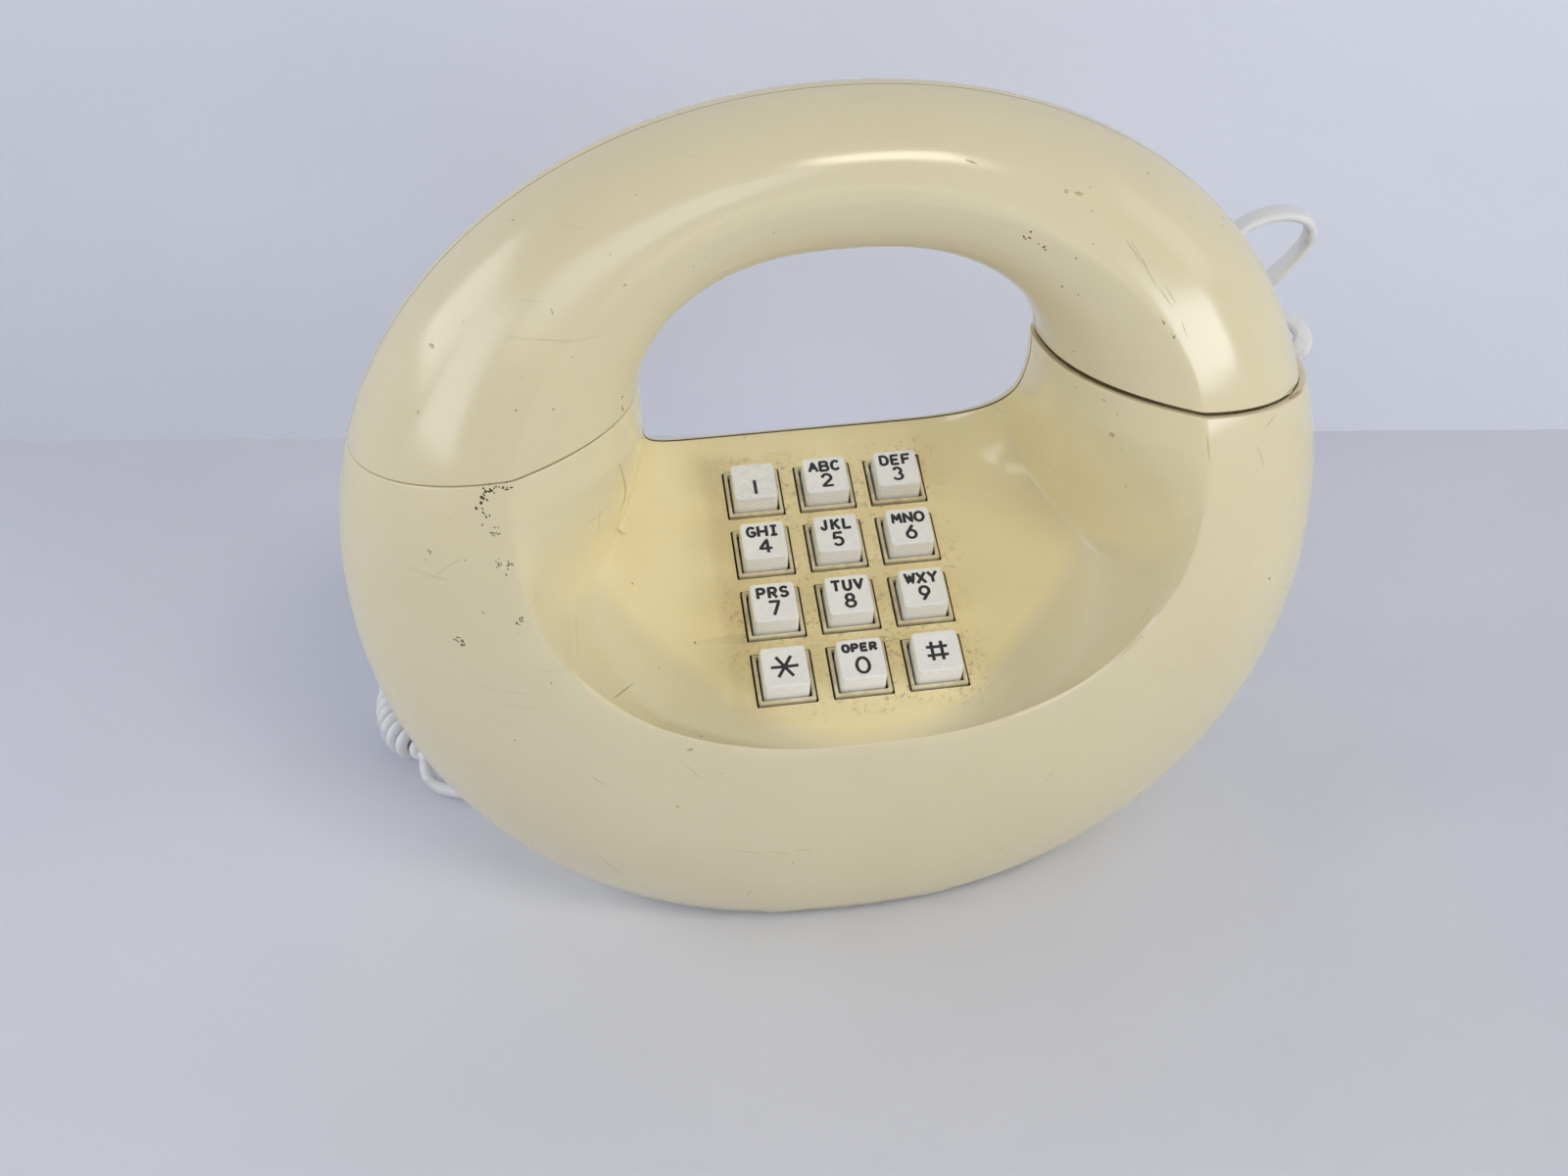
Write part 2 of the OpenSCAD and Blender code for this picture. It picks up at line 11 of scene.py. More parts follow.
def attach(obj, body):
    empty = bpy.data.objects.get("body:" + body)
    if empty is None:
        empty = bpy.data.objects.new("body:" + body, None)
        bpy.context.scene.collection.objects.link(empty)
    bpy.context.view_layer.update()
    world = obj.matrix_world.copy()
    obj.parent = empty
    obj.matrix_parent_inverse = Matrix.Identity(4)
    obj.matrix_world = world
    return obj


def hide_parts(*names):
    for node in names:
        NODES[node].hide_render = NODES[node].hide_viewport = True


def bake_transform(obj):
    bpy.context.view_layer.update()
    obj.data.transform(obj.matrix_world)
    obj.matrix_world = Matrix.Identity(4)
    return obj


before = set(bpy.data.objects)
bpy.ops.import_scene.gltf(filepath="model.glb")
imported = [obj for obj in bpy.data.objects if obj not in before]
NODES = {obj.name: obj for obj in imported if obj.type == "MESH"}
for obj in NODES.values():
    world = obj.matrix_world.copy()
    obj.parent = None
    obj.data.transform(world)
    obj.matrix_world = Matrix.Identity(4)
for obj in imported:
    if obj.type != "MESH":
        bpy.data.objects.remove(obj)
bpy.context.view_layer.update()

bl_info = {
    "name": "Ring telephone",
    "version": (1, 0, 0),
    "blender": (4, 5, 0),
    "location": "3D View > Sidebar > Telephone",
    "description": "Dresses the ring-shaped push-button telephone",
    "category": "Object",
}

MM = 0.001
# How far out the handset's two ends rest on the base, and about how high, in mm
SHOULDER, SHOULDER_Z = 75.0, 124.0

# The camera's lens and sensor in mm, its frame in pixels, its place in metres and its two directions
LENS, SENSOR = 40.78, 36.0
FRAME_WIDTH, FRAME_HEIGHT = 1600, 1200
CAMERA_AT = Vector((-0.05326, -0.29559, 0.31898))
CAMERA_RIGHT = Vector((0.989351, -0.14523, -0.009645))
CAMERA_UP = Vector((0.098517, 0.619401, 0.778869))


# ---------------------------------------------------------------- sizes and colours
class RingSizes(bpy.types.PropertyGroup):
    """Sizes of the ring and its plastic, in millimetres where no unit is named"""

    wall: FloatProperty(name="Wall", description="Wall of the housings, in mm", default=2.6, min=1.0)
    edge: FloatProperty(name="Edge wall", description="Wall at the seam's edges, in mm", default=1.3, min=0.5)
    lip: FloatProperty(
        name="Lip", description="Rounding of the base's rim at the seam, in mm", default=0.25, min=0.1
    )
    gap: FloatProperty(
        name="Seam gap", description="Gap between handset and base, in mm", default=0.3, min=0.1
    )
    ledge: FloatProperty(
        name="Ledge", description="Step from base to handset on the right, in mm", default=1.05
    )
    groove: FloatProperty(
        name="Groove", description="Depth of the groove between the halves, in mm", default=0.28
    )
    arc_rows: IntProperty(name="Arc rows", description="Rows of faces along the ring", default=220, min=40)
    plastic: FloatVectorProperty(
        name="Plastic", description="Ivory of the housing", subtype="COLOR", default=(0.725, 0.655, 0.435)
    )
    # Ivory inside the bowl: yellowed, and lighter than the plastic as a painted pool of light
    bowl_yellow_and_light: FloatVectorProperty(
        name="Yellowed plastic",
        description="Ivory inside the bowl",
        subtype="COLOR",
        default=(0.92, 0.785, 0.43),
    )


class KeySizes(bpy.types.PropertyGroup):
    """Sizes and colours of the push-button keys"""

    top: FloatProperty(name="Key top", description="Width of a key's top, in mm", default=9.34, min=5.0)
    height: FloatProperty(name="Key height", description="Height above the pad, in mm", default=4.96, min=1.0)
    dish: FloatProperty(name="Dish", description="Depth of the dished top, in mm", default=0.28, min=0.0)
    stroke: FloatProperty(name="Stroke", description="Width of the legends' strokes, in mm", default=0.72)
    white: FloatVectorProperty(
        name="Key white", description="Key plastic", subtype="COLOR", default=(0.90, 0.89, 0.845)
    )


class CordSizes(bpy.types.PropertyGroup):
    """Sizes of the two cords, in millimetres"""

    coil: FloatProperty(name="Coil", description="Outer diameter of the curled cord, in mm", default=10.4)
    wire: FloatProperty(
        name="Curled wire", description="Diameter of the curled cord's wire, in mm", default=3.2
    )
    pitch: FloatProperty(name="Pitch", description="Distance between turns of the coil, in mm", default=3.5)
    flat_width: FloatProperty(
        name="Flat cord width", description="Width of the line cord, in mm", default=4.8
    )
    flat_thick: FloatProperty(
        name="Flat cord thickness", description="Thickness of the line cord, in mm", default=2.2
    )
    white: FloatVectorProperty(
        name="Cord white", description="Cord sheath", subtype="COLOR", default=(0.76, 0.76, 0.75)
    )


# ---------------------------------------------------------------- meshes
def make_object(name, points, faces, materials, scale=MM):
    """A mesh object from points and faces, with its materials."""
    mesh = bpy.data.meshes.new(name)
    mesh.from_pydata([tuple(np.asarray(p) * scale) for p in points], [], [tuple(f) for f in faces])
    mesh.validate()
    obj = bpy.data.objects.new(name, mesh)
    bpy.context.scene.collection.objects.link(obj)
    for m in materials:
        mesh.materials.append(m)
    return obj


def smooth(obj, angle=35.0):
    """Shades an object smooth and keeps edges past an angle sharp."""
    mesh = obj.data
    mesh.polygons.foreach_set("use_smooth", [True] * len(mesh.polygons))
    mesh.set_sharp_from_angle(angle=math.radians(angle))
    mesh.update()
    return obj


def settle(obj):
    """Turns an object with modifiers into a plain mesh object of the same name."""
    depsgraph = bpy.context.evaluated_depsgraph_get()
    mesh = bpy.data.meshes.new_from_object(obj.evaluated_get(depsgraph))
    obj.modifiers.clear()
    old = obj.data
    obj.data = mesh
    mesh.name = obj.name
    if old.users == 0:
        bpy.data.meshes.remove(old)
    return obj


def cut(obj, cutter):
    """Cuts a solid out of an object; the cut faces keep the solid's own material."""
    cutting = obj.modifiers.new("cut", "BOOLEAN")
    cutting.material_mode = "TRANSFER"
    cutting.operation = "DIFFERENCE"
    cutting.solver = "EXACT"
    cutting.object = cutter
    settle(obj)
    bpy.data.objects.remove(cutter)
    return obj


def tube_faces(rows, k):
    """Faces between rows of k points, each row closed on itself."""
    return [
        (i * k + j, i * k + (j + 1) % k, (i + 1) * k + (j + 1) % k, (i + 1) * k + j)
        for i in range(rows - 1)
        for j in range(k)
    ]


def tube_ends(rows, k):
    """The two faces that close a tube of rows of k points."""
    return [tuple(range(k - 1, -1, -1)), tuple(range((rows - 1) * k, rows * k))]


def sweep(path, across, profile):
    """Points and faces of a profile carried along a path; across gives the profile's x at each point."""
    path, across = np.asarray(path, float), np.asarray(across, float)
    along = np.gradient(path, axis=0)
    along /= np.linalg.norm(along, axis=1)[:, None]
    x = across - (across * along).sum(1)[:, None] * along
    x /= np.linalg.norm(x, axis=1)[:, None]
    y = np.cross(along, x)
    profile = np.asarray(profile, float)
    k = len(profile)
    points = path[:, None, :] + profile[None, :, 0, None] * x[:, None, :]
    points = points + profile[None, :, 1, None] * y[:, None, :]
    return points.reshape(-1, 3), tube_faces(len(path), k) + tube_ends(len(path), k)


def carried_across(path, first=(0, 0, 1)):
    """Directions across a path that don't twist."""
    path = np.asarray(path, float)
    along = np.gradient(path, axis=0)
    along /= np.linalg.norm(along, axis=1)[:, None]
    v = np.asarray(first, float)
    out = []
    for d in along:
        v = v - v.dot(d) * d
        v = v / np.linalg.norm(v)
        out.append(v.copy())
    return np.array(out)


def spline(route, step):
    """A Catmull-Rom curve through a route's points, with a point about every step."""
    p = np.asarray(route, float)
    out = []
    for i in range(len(p) - 1):
        a, b, c, d = p[max(i - 1, 0)], p[i], p[i + 1], p[min(i + 2, len(p) - 1)]
        n = max(2, int(np.linalg.norm(c - b) / step))
        for u in np.arange(n) / n:
            square = (2 * a - 5 * b + 4 * c - d) * u * u
            cube = (3 * b - a - 3 * c + d) * u**3
            out.append(0.5 * (2 * b + (c - a) * u + square + cube))
    out.append(p[-1])
    return np.array(out)


def evenly(path, step):
    """The same line with points a step apart."""
    path = np.asarray(path, float)
    s = np.concatenate([[0], np.cumsum(np.linalg.norm(np.diff(path, axis=0), axis=1))])
    n = max(2, int(round(s[-1] / step)) + 1)
    at = np.linspace(0, s[-1], n)
    return np.stack([np.interp(at, s, path[:, k]) for k in range(3)], 1)


def length_of(path):
    """Length of the line through a path's points."""
    return float(np.linalg.norm(np.diff(np.asarray(path), axis=0), axis=1).sum())


def softened(path, passes):
    """The same line with its kinks rounded off, its ends kept."""
    path = np.array(path, float)
    for _ in range(passes):
        path[1:-1] = (path[:-2] + 2 * path[1:-1] + path[2:]) / 4
    return path


# ---------------------------------------------------------------- geometry nodes
class Tree:
    """A Geometry Nodes tree with named sizes, which ends in Realize Instances and Set Material."""

    def __init__(self, name, **sizes):
        self.tree = bpy.data.node_groups.new(name, "GeometryNodeTree")
        face = self.tree.interface
        face.new_socket("Geometry", in_out="INPUT", socket_type="NodeSocketGeometry")
        self.identifiers = {}
        for label, value in sizes.items():
            kind = "NodeSocketInt" if isinstance(value, int) else "NodeSocketFloat"
            self.identifiers[label] = face.new_socket(label, in_out="INPUT", socket_type=kind).identifier
        face.new_socket("Geometry", in_out="OUTPUT", socket_type="NodeSocketGeometry")
        self.sizes = sizes
        self.start = self.tree.nodes.new("NodeGroupInput")

    def put(self, kind, values=None, **props):
        """A node with its inputs and its settings."""
        node = self.tree.nodes.new(kind)
        for k, v in props.items():
            setattr(node, k, v)
        for k, v in (values or {}).items():
            if isinstance(v, bpy.types.NodeSocket):
                self.tree.links.new(v, node.inputs[k])
            else:
                node.inputs[k].default_value = v
        return node

    def size(self, label):
        return self.start.outputs[label]

    def math(self, operation, *values):
        return self.put("ShaderNodeMath", dict(enumerate(values)), operation=operation).outputs[0]

    def finish(self, geometry, material):
        real = self.put("GeometryNodeRealizeInstances", {"Geometry": geometry})
        painted = self.put("GeometryNodeSetMaterial", {"Geometry": real.outputs[0], "Material": material})
        self.put("NodeGroupOutput", {"Geometry": painted.outputs[0]})

    def make(self, obj):
        """Runs the tree on an object and leaves a plain mesh."""
        modifier = obj.modifiers.new(self.tree.name, "NODES")
        modifier.node_group = self.tree
        for label, value in self.sizes.items():
            modifier[self.identifiers[label]] = value
        settle(obj)
        return obj


def swept_cord(name, path, across, width, thickness, material):
    """A cord swept along a path; across gives the direction of its width at each point."""
    mesh = bpy.data.meshes.new(name)
    edges = [(i, i + 1) for i in range(len(path) - 1)]
    mesh.from_pydata([tuple(p * MM) for p in np.asarray(path)], edges, [])
    side = mesh.attributes.new("across", "FLOAT_VECTOR", "POINT")
    side.data.foreach_set("vector", np.asarray(across, dtype=np.float32).ravel())
    obj = bpy.data.objects.new(name, mesh)
    bpy.context.scene.collection.objects.link(obj)
    tree = Tree(name + "_sweep", Width=width * MM, Thickness=thickness * MM, Corner=4, Sides=12)
    line = tree.put("GeometryNodeMeshToCurve", {"Mesh": tree.size("Geometry")})
    side = tree.put("GeometryNodeInputNamedAttribute", {"Name": "across"}, data_type="FLOAT_VECTOR")
    turned = tree.put(
        "GeometryNodeSetCurveNormal", {"Curve": line.outputs[0], "Normal": side.outputs[0]}, mode="FREE"
    )
    if width == thickness:
        radius = tree.math("MULTIPLY", tree.size("Width"), 0.5)
        section = tree.put(
            "GeometryNodeCurvePrimitiveCircle", {"Resolution": tree.size("Sides"), "Radius": radius}
        ).outputs[0]
    else:
        plain = tree.put(
            "GeometryNodeCurvePrimitiveQuadrilateral",
            {"Width": tree.size("Width"), "Height": tree.size("Thickness")},
        ).outputs[0]
        radius = tree.math("MULTIPLY", tree.size("Thickness"), 0.49)
        corners = tree.size("Corner")
        section = tree.put(
            "GeometryNodeFilletCurve", {"Curve": plain, "Radius": radius, "Count": corners}, mode="POLY"
        ).outputs[0]
    skin = tree.put(
        "GeometryNodeCurveToMesh", {"Curve": turned.outputs[0], "Profile Curve": section, "Fill Caps": True}
    )
    tree.finish(skin.outputs[0], material)
    tree.make(obj)
    return face_outwards(obj)


def face_outwards(obj):
    """Merges doubled points and turns every face outwards."""
    mesh = bmesh.new()
    mesh.from_mesh(obj.data)
    bmesh.ops.remove_doubles(mesh, verts=mesh.verts, dist=1e-6)
    bmesh.ops.recalc_face_normals(mesh, faces=mesh.faces)
    mesh.to_mesh(obj.data)
    mesh.free()
    return obj


def on_the_pad(obj, material):
    """Repeats one piece, drawn round the origin of the pad's frame, at each key's place."""
    tree = Tree("pad_grid", Columns=3, Rows=4, Pitch=KEY_PITCH * MM, Slope=PAD_SLOPE)
    wide = tree.math("MULTIPLY", tree.size("Pitch"), tree.math("SUBTRACT", tree.size("Columns"), 1.0))
    high = tree.math("MULTIPLY", tree.size("Pitch"), tree.math("SUBTRACT", tree.size("Rows"), 1.0))
    grid = tree.put(
        "GeometryNodeMeshGrid",
        {"Size X": wide, "Size Y": high, "Vertices X": tree.size("Columns"), "Vertices Y": tree.size("Rows")},
    )
    repeated = tree.put(
        "GeometryNodeInstanceOnPoints", {"Points": grid.outputs[0], "Instance": tree.size("Geometry")}
    )
    turn = tree.put("ShaderNodeCombineXYZ", {"X": tree.size("Slope")})
    placed = tree.put(
        "GeometryNodeTransform",
        {"Geometry": repeated.outputs[0], "Rotation": turn.outputs[0], "Translation": tuple(PAD_AT * MM)},
    )
    tree.finish(placed.outputs[0], material)
    return tree.make(obj)


# ---------------------------------------------------------------- surface of the ring
def step01(a, b, v):
    """A smooth step from 0 at a to 1 at b."""
    u = np.clip((v - a) / (b - a), 0, 1)
    return u * u * (3 - 2 * u)


def soft_max(a, b, k):
    """The larger of a and b, blended over k."""
    h = np.clip(0.5 + 0.5 * (a - b) / np.maximum(k, 1e-6), 0, 1)
    return b * (1 - h) + a * h + k * h * (1 - h)


def fold(t):
    """The angle from the top of the ring, 0 to 180 on either side."""
    u = np.abs(t)
    return np.where(u > 180, 360 - u, u)


def three(t, top, side, bottom):
    """A value that runs smoothly from the top by the side to the bottom of the ring."""
    r = np.radians(t)
    quarter = (top + bottom - 2 * side) / 4
    return side + quarter + (top - bottom) / 2 * np.cos(r) + quarter * np.cos(2 * r)


def oval(t, half, up, down, n_up, n_down):
    """x and z round an oval with its own height and squareness above and below."""
    c, s = np.cos(np.radians(t)), np.sin(np.radians(t))
    n = np.where(c >= 0, n_up, n_down)
    b = np.where(c >= 0, up, down)
    return half * np.sign(s) * np.abs(s) ** (2 / n), b * np.sign(c) * np.abs(c) ** (2 / n)


def xyz(x, y, z):
    """Points from three arrays of coordinates."""
    x, y, z = np.broadcast_arrays(x, y, z)
    return np.stack([x, y, z], -1)


PARTING_Y = 9.1


def equator(t, w):
    """The line where front and rear halves meet, w under the skin."""
    x, z = oval(t, 104.0 - w, 99.5 - w, 105.0 - w, 2.08, 2.03)
    return xyz(x, PARTING_Y, 88 + z)


def crease(t, w):
    """The crease between the outer band and the bowl, w under the skin."""
    g = 0.35 * w
    x, z = oval(t, 66.7 + g, 51.0 + g, 52.5 + g, 2.03, 2.3)
    return xyz(x, -28.7 + 0.31 * z + 0.0012 * z * z + w, 122 + z - 0.8 * w * step01(95, 140, fold(t)))


def hole_edge(t, w):
    """The edge of the hole, w under the skin."""
    square = np.where(np.sin(np.radians(t)) < 0, step01(62, 100, fold(t)), 0)
    half, n_down = 41.2 - 1.9 * square, 2.6 + 2.2 * square
    x, z = oval(t, half + w, 38.6 + w, 26.0 + w, 2.55, n_down)
    z0 = oval(t, half, 38.6, 26.0, 2.55, n_down)[1]
    y = 0.6 + 36.77 * np.exp(-(120.5 + z0 - 94.46) / 24) - w * step01(95, 150, fold(t))
    return xyz(x, y, 120.5 + z)


PAD_SLOPE = math.radians(17.6)
PAD_AT = np.array([0.0, -1.9, 82.0])
KEY_PITCH = 15.875


def to_pad(p):
    """From the ring's frame to the pad's: across, up the slope and out of the pad."""
    y, z = p[..., 1] - PAD_AT[1], p[..., 2] - PAD_AT[2]
    c, s = math.cos(PAD_SLOPE), math.sin(PAD_SLOPE)
    return xyz(p[..., 0], y * c + z * s, z * c - y * s)


def from_pad(q):
    """From the pad's frame back to the ring's."""
    c, s = math.cos(PAD_SLOPE), math.sin(PAD_SLOPE)
    y = PAD_AT[1] + q[..., 1] * c - q[..., 2] * s
    z = PAD_AT[2] + q[..., 1] * s + q[..., 2] * c
    return xyz(q[..., 0], y, z)


def band(t, s, w):
    """The outer band, from the equator at s = 0 to the crease at s = 1."""
    k, o, n = crease(t, w), equator(t, w), three(t, 2.0, 2.1, 2.2)
    c, r = np.cos(s * math.pi / 2) ** (2 / n), np.sin(s * math.pi / 2) ** (2 / n)
    return xyz(
        k[..., 0] + (o[..., 0] - k[..., 0]) * c,
        PARTING_Y + (k[..., 1] - PARTING_Y) * r,
        k[..., 2] + (o[..., 2] - k[..., 2]) * c,
    )


def funnel(t, s, w):
    """The bowl, from the crease at s = 0 to the edge of the hole at s = 1."""
    k, i, share = crease(t, w), hole_edge(t, w), step01(86, 112, fold(t))[..., None]
    sine = np.sin(np.radians(t))
    dive = from_pad(
        xyz(51.5 * np.sign(sine) * np.abs(sine) ** 0.7, np.maximum(118 - fold(t), -24), -12 - w)
    )
    middle = (1 - share) * xyz(i[..., 0], i[..., 1] + (k[..., 1] - i[..., 1]) * 0.8, i[..., 2]) + share * dive
    pull = 0.667 + 0.1 * share
    b, c = k + pull * (middle - k), i + pull * (middle - i)
    u = np.asarray(s)[..., None]
    q = to_pad((1 - u) ** 3 * k + 3 * (1 - u) ** 2 * u * b + 3 * (1 - u) * u * u * c + u**3 * i)
    soft = 4 * s * (1 - s) * (5 + 9 * (1 - step01(125, 160, fold(t))))
    z = np.where(fold(t) < 75, q[..., 2], soft_max(q[..., 2], -w, soft))
    return from_pad(xyz(q[..., 0], q[..., 1], z))


def rear(t, s, w):
    """The rear half, from the edge of the hole at s = 0 to the equator at s = 2."""
    o, i = equator(t, w), hole_edge(t, w)
    m = (equator(t, 0) + hole_edge(t, 0)) / 2
    h = PARTING_Y + three(t, 12.5, 20.5, 32.57) - w
    s = np.asarray(s, float)
    first = (s < 1)[..., None]
    e = np.where(first, i, o)
    c = np.where(s < 1, np.cos(s * math.pi / 2), np.sin((s - 1) * math.pi / 2))
    r = np.where(s < 1, np.sin(s * math.pi / 2), np.cos((s - 1) * math.pi / 2))
    return xyz(
        m[..., 0] + (e[..., 0] - m[..., 0]) * c,
        e[..., 1] + (h - e[..., 1]) * r,
        m[..., 2] + (e[..., 2] - m[..., 2]) * c,
    )


def seam_height(p):
    """Height of the seam at a point; it falls outwards and backwards."""
    return 125.5 - 0.177 * (np.abs(p[..., 0]) - SHOULDER) - 0.105 * (p[..., 1] - PARTING_Y)


def seam_angle(skin, w, lift):
    """The angle round the ring at which each profile point crosses the seam, moved up by lift."""
    low, high = np.full_like(w, 45.0), np.full_like(w, 125.0)
    for _ in range(30):
        middle = (low + high) / 2
        p = skin(middle, w)
        over = p[..., 2] - seam_height(p) - lift > 0
        low, high = np.where(over, middle, low), np.where(over, high, middle)
    return (low + high) / 2


def skin_grid(skin, w, rims, rows, base, lift):
    """Rows of points along a housing's arc. w is each profile point's depth under the outer skin, and rims
    are (depth, height) pairs that round the edge at the seam."""
    w = np.asarray(w, float)
    up = -1.0 if base else 1.0
    ends = [seam_angle(skin, w + d, lift + up * h) for d, h in rims]
    depths = [w + d for d, h in rims]
    last = seam_angle(skin, w, lift + up * 4.0)
    full = 360 - 2 * last if base else 2 * last
    start = last if base else -last
    turns, offsets = [], []
    for e, d in zip(ends, depths):
        turns.append(e if base else -e)
        offsets.append(d)
    for u in np.linspace(0, 1, rows):
        turns.append(start + full * u)
        offsets.append(w)
    for e, d in zip(reversed(ends), reversed(depths)):
        turns.append(360 - e if base else e)
        offsets.append(d)
    return np.array([skin(np.asarray(t), o) for t, o in zip(turns, offsets)])


def shell(name, outer, inner, materials):
    """A closed wall between two grids of points with the same rows and columns."""
    rows, cols = outer.shape[:2]
    ring = np.concatenate([outer, inner[:, ::-1]], 1)
    n = 2 * cols
    faces = tube_faces(rows, n)
    last = (rows - 1) * n
    for j in range(cols - 1):
        a = (j, j + 1, n - 2 - j, n - 1 - j)
        faces.append(a[::-1])
        faces.append(tuple(last + q for q in a))
    return face_outwards(make_object(name, ring.reshape(-1, 3), faces, materials))


# ---------------------------------------------------------------- materials
class Paint:
    """One material and its nodes."""

    def __init__(self, name, **shader):
        self.material = bpy.data.materials.get(name)
        self.fresh = self.material is None
        if self.fresh:
            self.material = bpy.data.materials.new(name)
            self.material.use_nodes = True
        self.tree = self.material.node_tree
        self.shader = next(n for n in self.tree.nodes if n.type == "BSDF_PRINCIPLED")
        if self.fresh:
            for k, v in shader.items():
                self.shader.inputs[k.replace("_", " ")].default_value = v

    def put(self, kind, values=None, **props):
        """A node with its inputs and its settings."""
        n = self.tree.nodes.new("ShaderNode" + kind)
        for k, v in props.items():
            setattr(n, k, v)
        for k, v in (values or {}).items():
            self.give(n.inputs[k], v)
        return n

    def give(self, socket, value):
        """Links a socket to another, or sets it to a value."""
        if isinstance(value, bpy.types.NodeSocket):
            self.tree.links.new(value, socket)
        else:
            socket.default_value = value

    def math(self, operation, *values):
        n = self.put("Math", operation=operation)
        for k, v in enumerate(values):
            self.give(n.inputs[k], v)
        return n.outputs[0]

    def less(self, vector, amount):
        """A vector less another."""
        return self.put("VectorMath", {0: vector, 1: amount}, operation="SUBTRACT").outputs["Vector"]

    def parts(self, vector):
        n = self.put("SeparateXYZ", {"Vector": vector})
        return n.outputs[0], n.outputs[1], n.outputs[2]

    def mix(self, share, a, b):
        """Colour a where the share is 0 and colour b where it is 1."""
        n = self.put("Mix", data_type="RGBA")
        self.give(n.inputs[0], share)
        for k, v in ((6, a), (7, b)):
            self.give(n.inputs[k], (*v, 1.0) if isinstance(v, tuple) and len(v) == 3 else v)
        return n.outputs[2]

    def object_coords(self):
        if not hasattr(self, "_coords"):
            self._coords = self.put("TexCoord").outputs["Object"]
        return self._coords

    def noise(self, scale, detail=3.0, vector=None, rough=0.5):
        n = self.put("TexNoise", {"Scale": scale, "Detail": detail, "Roughness": rough})
        self.give(n.inputs["Vector"], vector or self.object_coords())
        return n.outputs["Fac"]

    def ramp(self, value, low, high, start=0.0, end=1.0):
        """Start below low and end past high, in a straight line between."""
        n = self.put("MapRange", {"From Min": low, "From Max": high, "To Min": start, "To Max": end})
        n.clamp = True
        self.give(n.inputs["Value"], value)
        return n.outputs[0]

    def bump(self, height, strength, distance):
        n = self.put("Bump", {"Strength": strength, "Distance": distance, "Height": height})
        self.give(self.shader.inputs["Normal"], n.outputs[0])

    def done(self, colour, rough=None):
        """The finished material, with its colour and its roughness."""
        self.give(self.shader.inputs["Base Color"], colour)
        if rough is not None:
            self.give(self.shader.inputs["Roughness"], rough)
        return self.material


def inside_the_crease(p, at):
    """1 inside the crease that runs round the front of the ring, 0 outside it."""
    x, _, z = p.parts(at)
    wide = p.math("POWER", p.math("ABSOLUTE", p.math("DIVIDE", x, 0.0667)), 2.05)
    high = p.math("POWER", p.math("ABSOLUTE", p.math("DIVIDE", p.math("SUBTRACT", z, 0.122), 0.0522)), 2.25)
    return p.ramp(p.math("ADD", wide, high), 1.03, 0.96)


def round_the_wells(p, at, reach):
    """1 at the edge of each key's well, falling to 0 a reach away in metres; and 1 on the pad, 0 off it."""
    turned = p.put("VectorRotate", {"Vector": p.less(at, tuple(PAD_AT * MM)), "Angle": -PAD_SLOPE})
    turned.rotation_type = "X_AXIS"
    x, y, high = p.parts(turned.outputs[0])
    pitch = KEY_PITCH * MM
    from_x = p.math("PINGPONG", p.math("ADD", x, 10 * pitch), pitch / 2)
    from_y = p.math("PINGPONG", p.math("ADD", y, 9.5 * pitch), pitch / 2)
    far = p.math("MAXIMUM", from_x, from_y)
    on_pad = p.math(
        "MULTIPLY",
        p.ramp(p.math("ABSOLUTE", x), pitch * 1.5 + 0.004, pitch * 1.5),
        p.ramp(p.math("ABSOLUTE", y), pitch * 2 + 0.004, pitch * 2),
    )
    on_pad = p.math("MULTIPLY", on_pad, p.ramp(high, 0.004, 0.002))
    return p.math("MULTIPLY", p.ramp(far, 0.0062 + reach, 0.0062), on_pad), on_pad


def worn_front_with_painted_light(p, at, base, bowl_yellow_and_light):
    """The plastic's colour: the bowl yellowed and also painted lighter as painted light, the dirt round the
    wells, and painted shade round them.
    """
    x, _, z = p.parts(at)
    # Inside the crease below the seam the ivory turns yellower and lighter, less so to the right and to the
    # left: yellowing, and a painted pool of light
    inside = p.math("MULTIPLY", inside_the_crease(p, at), p.ramp(z, 0.136, 0.112))
    yellow = p.math("MULTIPLY", inside, p.ramp(x, 0.062, 0.020, 0.40, 1.0))
    yellow = p.math("MULTIPLY", yellow, p.ramp(x, -0.062, -0.026, 0.20, 1.0))
    base = p.mix(yellow, base, bowl_yellow_and_light)
    near, on_pad = round_the_wells(p, at, 0.0045)
    dirt = p.math("MULTIPLY", near, p.ramp(p.noise(620.0, 6.0, rough=0.8), 0.53, 0.62))
    dirt = p.math("MULTIPLY", dirt, p.ramp(p.noise(45.0, 1.0), 0.36, 0.62))
    # Painted shade: a smooth brown darkening round each well, strongest at the left of the left column
    base = p.mix(p.math("MULTIPLY", near, p.ramp(x, -0.010, -0.026, 0.04, 0.40)), base, (0.52, 0.40, 0.18))
    haze = p.math("MULTIPLY", on_pad, p.ramp(p.noise(70.0, 3.0), 0.45, 0.80, 0.0, 0.22))
    base = p.mix(haze, base, (0.66, 0.48, 0.20))
    return p.mix(p.math("MULTIPLY", dirt, 0.7), base, (0.20, 0.13, 0.055))


